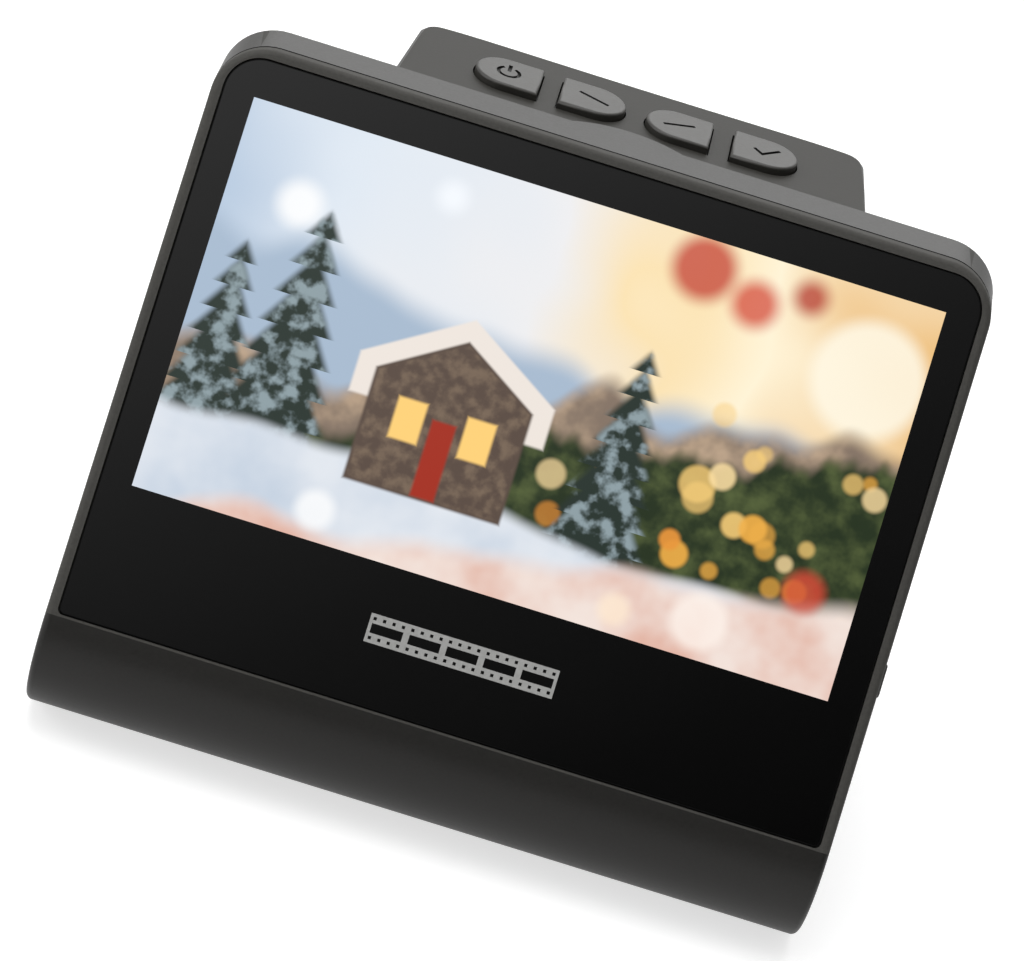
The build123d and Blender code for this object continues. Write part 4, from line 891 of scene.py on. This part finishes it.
@dataclass
class CoverWindow:
    """Glass over display and border, in one piece with its lit area."""

    width: float = 121.2
    height: float = 90.2
    low: float = 0.5
    recess: float = 0.15
    thick: float = 1.1
    top_radius: float = 5.65
    low_radius: float = 1.0
    edge: float = 0.22
    steep: float = 0.5  # a face whose normal leans less than this out of the screen is a side
    picture: LitPicture = LitPicture()

    def front_rim(self, pane: bmesh.types.BMesh) -> list[bmesh.types.BMEdge]:
        """Edges between the pane's front and its sides."""
        return [
            edge for edge in pane.edges
            if all(abs(v.co.z + self.recess) < SAME_LEVEL for v in edge.verts)
            and any(abs(face.normal.z) < self.steep for face in edge.link_faces)
        ]

    def build(self) -> bpy.types.Object:
        """Model the pane, chamfer its rim and set the lit area apart.

        Returns:
            The pane, which stands for the CAD cover glass.
        """
        pane = bmesh.new()
        middle = self.low + self.height / 2
        size = Matrix.Diagonal((self.width, self.height, 1, 1))
        place = Matrix.Translation((0, middle, -self.recess))
        bmesh.ops.create_grid(pane, x_segments=1, y_segments=1, size=0.5, matrix=place @ size)
        for top, radius in ((True, self.top_radius), (False, self.low_radius)):
            corners = [v for v in pane.verts if (v.co.y > middle) == top]
            bmesh.ops.bevel(
                pane, geom=corners, offset=radius, offset_type="OFFSET", segments=12, profile=0.5,
                affect="VERTICES", material=-1,
            )
        lit = self.picture
        borders = (
            ((lit.left, 0, 0), (1, 0, 0)), ((lit.right, 0, 0), (1, 0, 0)),
            ((0, lit.low, 0), (0, 1, 0)), ((0, lit.high, 0), (0, 1, 0)),
        )
        for point, normal in borders:
            bmesh.ops.bisect_plane(
                pane, geom=pane.faces[:] + pane.edges[:] + pane.verts[:],
                plane_co=point, plane_no=normal, dist=1e-5,
            )
        for face in pane.faces:
            spot = face.calc_center_median()
            face.material_index = int(lit.left < spot.x < lit.right and lit.low < spot.y < lit.high)
        for face in thicken(pane, -self.thick):
            face.material_index = 0
        bmesh.ops.recalc_face_normals(pane, faces=pane.faces[:])
        # Sides and the chamfered front rim get slot 2, near-black as painted shade in the gap round the
        # glass
        for face in pane.faces:
            if abs(face.normal.z) < self.steep:
                face.material_index = 2
        bmesh.ops.bevel(
            pane, geom=self.front_rim(pane), offset=self.edge, offset_type="OFFSET", segments=2,
            profile=0.5, affect="EDGES", material=2,
        )
        bmesh.ops.transform(pane, matrix=SCREEN.matrix(), verts=pane.verts[:])
        materials = [BackPrintedGlass().material(), lit.material(), GAP_SHADE_EDGE.material()]
        piece = make_object("cover_window", pane, materials, "case")
        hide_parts("cover_glass")
        report(piece, "pane with chamfered rim and lit area")
        return piece


@dataclass
class FilmMark:
    """Strip of film printed on the glass under the picture: five frames between two rows of holes."""

    middle: float = 12.4
    cell: float = 0.5
    frames: int = 5
    frame_cells: int = 12
    hole_step: int = 3
    rows: int = 9
    proud: float = 0.02
    glass: float = -0.15

    def is_hole(self, column: int, row: int) -> bool:
        """Whether a cell of the strip is left bare.

        Args:
            column: Cell counted from the left.
            row: Cell counted from below.

        Returns:
            True in the picture windows and the perforations.
        """
        if row in (1, self.rows - 2):
            return column % self.hole_step == 1
        inside_window = 2 < row < self.rows - 3
        return inside_window and column % self.frame_cells not in (0, self.frame_cells - 1)

    def build(self) -> bpy.types.Object:
        """Model the print as a thin layer on the glass.

        Returns:
            The print.
        """
        columns = self.frames * self.frame_cells
        wide, high = columns * self.cell, self.rows * self.cell
        place = Matrix.Translation((0, self.middle, self.glass)) @ Matrix.Diagonal((wide, high, 1, 1))
        strip = bmesh.new()
        bmesh.ops.create_grid(strip, x_segments=columns, y_segments=self.rows, size=0.5, matrix=place)
        bare = []
        for face in strip.faces:
            spot = face.calc_center_median()
            column = int((spot.x + wide / 2) / self.cell)
            row = int((spot.y - self.middle + high / 2) / self.cell)
            if self.is_hole(column, row):
                bare.append(face)
        bmesh.ops.delete(strip, geom=bare, context="FACES")
        bmesh.ops.dissolve_limit(
            strip, angle_limit=math.radians(1), verts=strip.verts[:], edges=strip.edges[:],
            delimit={"NORMAL"},
        )
        thicken(strip, self.proud)
        bmesh.ops.transform(strip, matrix=SCREEN.matrix(), verts=strip.verts[:])
        piece = make_object("film_mark", strip, [ScreenInk().material()], "case")
        report(piece, "printed strip of film")
        return piece


# ---- keys ----


class Mark(Enum):
    """What is cut into the top of a key."""

    POWER = "ring open at the back, with a bar"
    FALLING = "bar falling to the right"
    RISING = "bar rising to the right"
    TICK = "tick"


@dataclass
class KeyRow:
    """Four keys on the tower and the side button, with their plungers and switches."""

    marks: tuple[tuple[str, Mark], ...] = (
        ("return", Mark.POWER), ("left", Mark.FALLING), ("right", Mark.RISING), ("confirm", Mark.TICK)
    )
    stroke: float = 0.62
    depth: float = 0.35
    ring: float = 1.7
    ring_gap: float = 0.55  # half of the ring's opening, in radians
    ring_steps: int = 28
    stem: Point = (0.5, 2.3)
    bar: float = 2.2
    bar_drop: float = 0.95
    tick: tuple[Point, ...] = ((-1.7, 0.1), (-0.5, -1.2), (2.0, 1.5))

    def lines(self, mark: Mark) -> list[tuple[Point, Point]]:
        """Straight strokes of a mark.

        Args:
            mark: The mark.

        Returns:
            Start and end of each stroke from the key's middle, in mm.
        """
        if mark is Mark.POWER:
            return [((0.0, self.stem[0]), (0.0, self.stem[1]))]
        if mark is Mark.FALLING:
            return [((-self.bar, self.bar_drop), (self.bar, -self.bar_drop))]
        if mark is Mark.RISING:
            return [((-self.bar, -self.bar_drop), (self.bar, self.bar_drop))]
        return list(zip(self.tick, self.tick[1:]))

    def add_ring(self, tool: bmesh.types.BMesh, top: Vector) -> None:
        """Spin the open ring of the power mark round the middle of a key's top.

        Args:
            tool: The bmesh that gets the ring.
            top: Middle of the key's top, in mm.
        """
        start = Vector((math.sin(self.ring_gap), math.cos(self.ring_gap), 0)) * self.ring
        stand = Matrix.Rotation(-self.ring_gap, 4, "Z") @ Matrix.Rotation(math.pi / 2, 4, "Y")
        size = Matrix.Diagonal((2 * self.depth, self.stroke, 1, 1))
        place = Matrix.Translation(top + start) @ stand @ size
        rim = bmesh.ops.create_grid(tool, x_segments=1, y_segments=1, size=0.5, matrix=place)["verts"]
        faces = list({face for v in rim for face in v.link_faces})
        edges = list({edge for v in rim for edge in v.link_edges})
        bmesh.ops.spin(
            tool, geom=faces + edges + rim, cent=top, axis=(0, 0, 1),
            angle=2 * self.ring_gap - math.tau, steps=self.ring_steps, use_merge=False,
        )

    def cutter(self, mark: Mark, top: Vector) -> bmesh.types.BMesh:
        """Build the shapes that a mark takes out of a key.

        Args:
            mark: The mark.
            top: Middle of the key's top, in mm.

        Returns:
            Closed shapes in metres.
        """
        tool = bmesh.new()
        for start, end in self.lines(mark):
            add_bar(tool, top + Vector((*start, 0)), top + Vector((*end, 0)), self.stroke, 2 * self.depth)
        if mark is Mark.POWER:
            self.add_ring(tool, top)
        to_metres(tool)
        return tool

    def build(self, nodes: Nodes) -> None:
        """Dress the row and engrave each key.

        Args:
            nodes: The frame's nodes by name.
        """
        dress(nodes, [f"key_{name}" for name, _ in self.marks] + ["side_button"], KEYS.material())
        dress(nodes, [f"plunger_{name}" for name, _ in self.marks] + ["side_plunger"], NYLON.material())
        dress(nodes, ["key_switches", "side_switch"], SWITCH.material())
        # The cut faces of the marks get a darker finish, as painted shade in the grooves
        groove = GROOVE_SHADE.material()
        for name, mark in self.marks:
            low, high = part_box(f"key_{name}")
            top = Vector(((low.x + high.x) / 2, (low.y + high.y) / 2, high.z)) / MM
            piece = engrave(nodes, f"key_{name}", f"cap_{name}", self.cutter(mark, top), groove)
            report(piece, mark.value)


# ---- casing, inside and back ----


@dataclass
class Casing:
    """Outer shells, feet and the screws under them."""

    slab_length: float = 92.2
    tower_step: float = 0.6
    tower_play: float = 0.1
    seam_front: float = 1.45
    seam_rear: float = 1.95
    rim_low: float = 0.1
    screw_x: float = 53.0
    screw_y: Point = (-27.5, 44.0)
    cross: float = 2.0
    cross_wide: float = 0.55
    cross_depth: float = 0.5

    def zones(self, shell: bpy.types.Object, choose: Callable[[Vector, Vector], int]) -> None:
        """Give each face of a shell the finish of its zone.

        Args:
            shell: The CAD shell, with its finishes in its slots.
            choose: Turns a face's place on the screen plane, in mm, and its normal into a slot's index.
        """
        flat = SCREEN.matrix().inverted()
        for face in shell.data.polygons:
            face.material_index = choose(flat @ face.center, face.normal)

    def in_joint(self, spot: Vector) -> bool:
        """Whether a place lies between the front casing and the rear housing."""
        return -self.seam_rear < spot.z < -self.seam_front

    def front_zone(self, spot: Vector, normal: Vector) -> int:
        """Choose between the rim round the glass, painted lighter as a highlight, the joint face, painted
        near-black as shade, and the rest of the casing, painted darker as shade.

        Args:
            spot: Place of a face on the screen plane, in mm.
            normal: Its normal.

        Returns:
            Index of the finish.
        """
        # Joint faces get slot 2, near-black as painted shade in the gap
        if self.in_joint(spot) and normal.dot(SCREEN.outward) < -FACING:
            return 2
        # Slot 1 is the rim painted lighter as a highlight; slot 0 is the casing painted darker as shade
        return 1 if spot.y > self.rim_low and spot.z > -self.seam_front else 0

    def rear_zone(self, spot: Vector, normal: Vector) -> int:
        """Choose between tower top, joint face, painted near-black as shade, and plain casing.

        Args:
            spot: Place of a face on the screen plane, in mm.
            normal: Its normal.

        Returns:
            Index of the finish.
        """
        # Joint faces get slot 2, near-black as painted shade in the gap
        if self.in_joint(spot) and normal.dot(SCREEN.outward) > FACING:
            return 2
        below_top = (self.slab_length - spot.y) * math.cos(SCREEN.tilt) - spot.z * math.sin(SCREEN.tilt)
        return 1 if abs(below_top - self.tower_step) < self.tower_play and normal.z > FACING else 0

    def build(self, nodes: Nodes) -> None:
        """Dress the shells and cut a cross into each screw head.

        Args:
            nodes: The frame's nodes by name.
        """
        dress(nodes, ["rear_housing", "bottom_cover"], CASING.material())
        # The front casing gets a darker copy of the casing plastic, as painted shade
        dress(nodes, ["front_casing"], SHADED_FRONT.material())
        # Near-black finish for the joint faces, as painted shade in the seam
        seam_shade = SEAM_SHADE.material()
        # The rim round the glass gets a lighter copy of the plastic as a painted highlight, and the joint
        # faces near-black as painted shade
        for name, finish, choose in (
            ("front_casing", LIT_RIM, self.front_zone), ("rear_housing", COARSE, self.rear_zone)
        ):
            nodes[name].data.materials.append(finish.material())
            nodes[name].data.materials.append(seam_shade)
            self.zones(nodes[name], choose)
        dress(nodes, ["feet"], RUBBER.material())
        dress(nodes, ["case_screws"], ZINC_SCREW.material())
        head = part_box("case_screws")[0].z / MM
        tool = bmesh.new()
        for x in (-self.screw_x, self.screw_x):
            for y in self.screw_y:
                for arm in (Vector((self.cross / 2, 0, 0)), Vector((0, self.cross / 2, 0))):
                    middle = Vector((x, y, head))
                    add_bar(tool, middle - arm, middle + arm, self.cross_wide, 2 * self.cross_depth)
        to_metres(tool)
        piece = engrave(nodes, "case_screws", "cross_screws", tool, ZINC_SCREW.material())
        report(piece, "screws with a cross recess")


@dataclass
class Inside:
    """Display, boards, optics, light and film path."""

    def build(self, nodes: Nodes) -> None:
        """Dress everything behind the shells.

        Args:
            nodes: The frame's nodes by name.
        """
        groups = (
            (PANEL, ["display_panel"]),
            (ZINC_PLATE, ["display_bracket"]),
            (PrintedBoard(), ["key_board", "main_board", "side_board", "sensor_board", "port_board"]),
            (EPOXY, ["main_chips"]),
            (ZINC_SCREW, ["key_board_screws", "main_board_screws", "bracket_screws"]),
            (FlatCable(), ["display_cable", "sensor_cable"]),
            (SENSOR, ["image_sensor"]),
            (FILTER, ["infrared_filter"]),
            (LENS, ["lens_lower", "lens_upper"]),
            (BARREL, ["lens_barrel", "sensor_housing", "lens_bracket"]),
            (GUIDE, ["lower_guide", "upper_guide"]),
            (INSERT, ["insert_lower", "insert_upper"]),
            (OPAL, ["light_box", "diffuser"]),
            (MASK_WHITE, ["light_board"]),
            (PHOSPHOR, ["light_leds"]),
        )
        for finish, names in groups:
            dress(nodes, names, finish.material())


@dataclass
class PortRow:
    """Sockets in the back, with the contacts on their tongues."""

    contact_wide: float = 0.3
    contact_proud: float = 0.03
    contact_long: float = 3.4
    set_back: float = 1.1

    def contacts(self, socket: str, count: int, pitch: float, high: float) -> bpy.types.Object:
        """Lay a row of gold contacts on a socket's tongue.

        Args:
            socket: Name of the CAD socket.
            count: How many contacts.
            pitch: Their spacing in mm.
            high: Height of the tongue's top above the socket's middle in mm.

        Returns:
            The row of contacts.
        """
        low, top = (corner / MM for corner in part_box(socket))
        back = top.y - self.set_back - self.contact_long / 2
        middle = Vector(((low.x + top.x) / 2, back, (low.z + top.z) / 2))
        arm = Vector((0, (self.contact_long - self.contact_wide) / 2, 0))
        row = bmesh.new()
        for index in range(count):
            spot = middle + Vector(((index - (count - 1) / 2) * pitch, 0, high))
            add_bar(row, spot - arm, spot + arm, self.contact_wide, 2 * self.contact_proud)
        bmesh.ops.bevel(
            row, geom=row.edges[:], offset=self.contact_proud / 3, segments=1, profile=0.5,
            affect="EDGES", material=-1,
        )
        to_metres(row)
        piece = make_object(f"{socket}_contacts", row, [GOLD_CONTACT.material()], "case")
        report(piece, "gold contacts")
        return piece

    def build(self, nodes: Nodes) -> None:
        """Dress the sockets and lay their contacts.

        Args:
            nodes: The frame's nodes by name.
        """
        dress(nodes, ["power_socket", "video_socket", "card_socket"], TIN_SHELL.material())
        self.contacts("power_socket", count=8, pitch=0.75, high=0.35)
        self.contacts("video_socket", count=10, pitch=0.72, high=0.7)


# ---- studio ----


@dataclass
class Studio:
    """Floor, world, lamps and camera."""

    floor_radius: float = 8.0
    floor_grey: float = 0.6
    floor_lift: float = 0.66
    surround: float = 0.38
    azimuth: float = -0.7
    elevation: float = 29.0
    roll: float = 17.595
    distance: float = 650.0
    lens: float = 146.85
    sensor: float = 36.0
    target: tuple[float, float, float] = (-0.46, -15.0, 49.67)
    lamp_target: tuple[float, float, float] = (0.0, 0.0, 0.05)
    bright_side: tuple[float, float, float] = (-0.59, 0.52, 0.62)
    fade: tuple[Point, ...] = (
        (-0.2, 0.02), (-0.15, 0.057), (-0.1, 0.14), (-0.05, 0.3), (0.0, 0.55), (0.04, 0.76), (0.2, 1.0)
    )

    def seen(self, tree: bpy.types.NodeTree) -> bpy.types.Node:
        """Tell the rays that see the studio from those that light it.

        Args:
            tree: The tree that asks.

        Returns:
            One for camera, gloss and glass rays, else zero.
        """
        path = add_node(tree, "LightPath").outputs
        direct = {0: path["Is Camera Ray"], 1: path["Is Glossy Ray"]}
        first = add_node(tree, "Math", direct, operation="MAXIMUM")
        return add_node(tree, "Math", {0: first, 1: path["Is Transmission Ray"]}, operation="MAXIMUM")

    def floor(self) -> None:
        """Lay a pale floor that keeps the object's shadow."""
        disc = bmesh.new()
        bmesh.ops.create_circle(disc, cap_ends=True, segments=96, radius=self.floor_radius)
        data = bpy.data.meshes.new("floor")
        disc.to_mesh(data)
        disc.free()
        piece = bpy.data.objects.new("floor", data)
        bpy.context.scene.collection.objects.link(piece)
        material, tree, _ = new_material("Pale matt floor")
        grey = (self.floor_grey, self.floor_grey, self.floor_grey, 1.0)
        matt = add_node(tree, "BsdfDiffuse", {"Color": grey})
        lift = add_node(tree, "Math", {0: self.seen(tree), 1: self.floor_lift}, operation="MULTIPLY")
        glow = add_node(tree, "Emission", {"Color": WHITE, "Strength": lift})
        both = add_node(tree, "AddShader", {0: matt, 1: glow})
        add_node(tree, "OutputMaterial", {"Surface": both})
        data.materials.append(material)

    def world(self) -> None:
        """Soft even surround, white to the eye, with a room that is dark behind the camera in gloss."""
        world = bpy.data.worlds.new("studio")
        bpy.context.scene.world = world
        world.use_nodes = True
        tree = world.node_tree
        tree.nodes.clear()
        look = add_node(tree, "TexCoord").outputs["Generated"]
        toward = add_node(
            tree, "VectorMath", {0: look, 1: self.bright_side}, operation="DOT_PRODUCT"
        ).outputs["Value"]
        first, last = self.fade[0][0], self.fade[-1][0]
        spread = add_node(tree, "MapRange", {"Value": toward, "From Min": first, "From Max": last})
        room = add_node(tree, "ValToRGB", {"Fac": spread})
        stops = [((side - first) / (last - first), (level, level, level, 1.0)) for side, level in self.fade]
        set_stops(room.color_ramp, stops)
        glossy = add_node(tree, "LightPath").outputs["Is Glossy Ray"]
        shown = add_node(tree, "Mix", {0: glossy, 6: WHITE, 7: room}, data_type="RGBA").outputs[2]
        soft = add_node(tree, "Background", {"Color": WHITE, "Strength": self.surround})
        white = add_node(tree, "Background", {"Color": shown, "Strength": 1.0})
        both = add_node(tree, "MixShader", {0: self.seen(tree), 1: soft, 2: white})
        add_node(tree, "OutputWorld", {"Surface": both})

    def lamp(
        self, name: str, place: tuple[float, float, float], wide: float, high: float, power: float
    ) -> None:
        """Hang one soft lamp that faces the object.

        Args:
            name: Name of the lamp.
            place: Where it hangs, in metres.
            wide: Width of its face, in metres.
            high: Height of its face, in metres.
            power: Power in watts.
        """
        light = bpy.data.lights.new(name, "AREA")
        light.shape = "RECTANGLE"
        light.size = wide
        light.size_y = high
        light.energy = power
        holder = bpy.data.objects.new(name, light)
        holder.location = place
        toward = Vector(self.lamp_target) - Vector(place)
        holder.rotation_euler = toward.to_track_quat("-Z", "Y").to_euler()
        holder.visible_camera = False
        bpy.context.scene.collection.objects.link(holder)

    def camera(self) -> None:
        """Stand the camera where the photograph was taken."""
        data = bpy.data.cameras.new("camera")
        data.sensor_width = self.sensor
        data.lens = self.lens
        data.clip_start = 0.01
        data.clip_end = 50.0
        holder = bpy.data.objects.new("camera", data)
        azimuth, elevation, roll = (math.radians(a) for a in (self.azimuth, self.elevation, self.roll))
        level = math.cos(elevation)
        back = Vector((math.sin(azimuth) * level, -math.cos(azimuth) * level, math.sin(elevation)))
        right = (-back).cross(Vector((0, 0, 1))).normalized()
        up = right.cross(-back)
        turned_right = right * math.cos(roll) + up * math.sin(roll)
        turned_up = up * math.cos(roll) - right * math.sin(roll)
        place = (Vector(self.target) + back * self.distance) * MM
        turn = Matrix((turned_right, turned_up, back)).transposed().to_4x4()
        holder.matrix_world = Matrix.Translation(place) @ turn
        bpy.context.scene.collection.objects.link(holder)
        bpy.context.scene.camera = holder

    def build(self) -> None:
        """Set up the whole studio."""
        self.floor()
        self.world()
        self.lamp("top_lamp", (-0.2, -0.1, 1.4), wide=1.0, high=1.0, power=10.0)
        self.lamp("rear_lamp", (0.0, 1.3, 0.85), wide=1.2, high=0.8, power=6.6)
        self.lamp("left_lamp", (-1.2, -0.3, 0.8), wide=0.8, high=0.8, power=6.0)
        self.camera()
        bpy.context.scene.view_settings.view_transform = "Standard"


def main() -> None:
    """Build, dress and light the scanner."""
    logging.basicConfig(level=logging.INFO, format="%(message)s")
    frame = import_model()
    nodes = frame["nodes"]
    Casing().build(nodes)
    KeyRow().build(nodes)
    Inside().build(nodes)
    PortRow().build(nodes)
    CoverWindow().build()
    FilmMark().build()
    Studio().build()


if __name__ == "__main__":
    main()
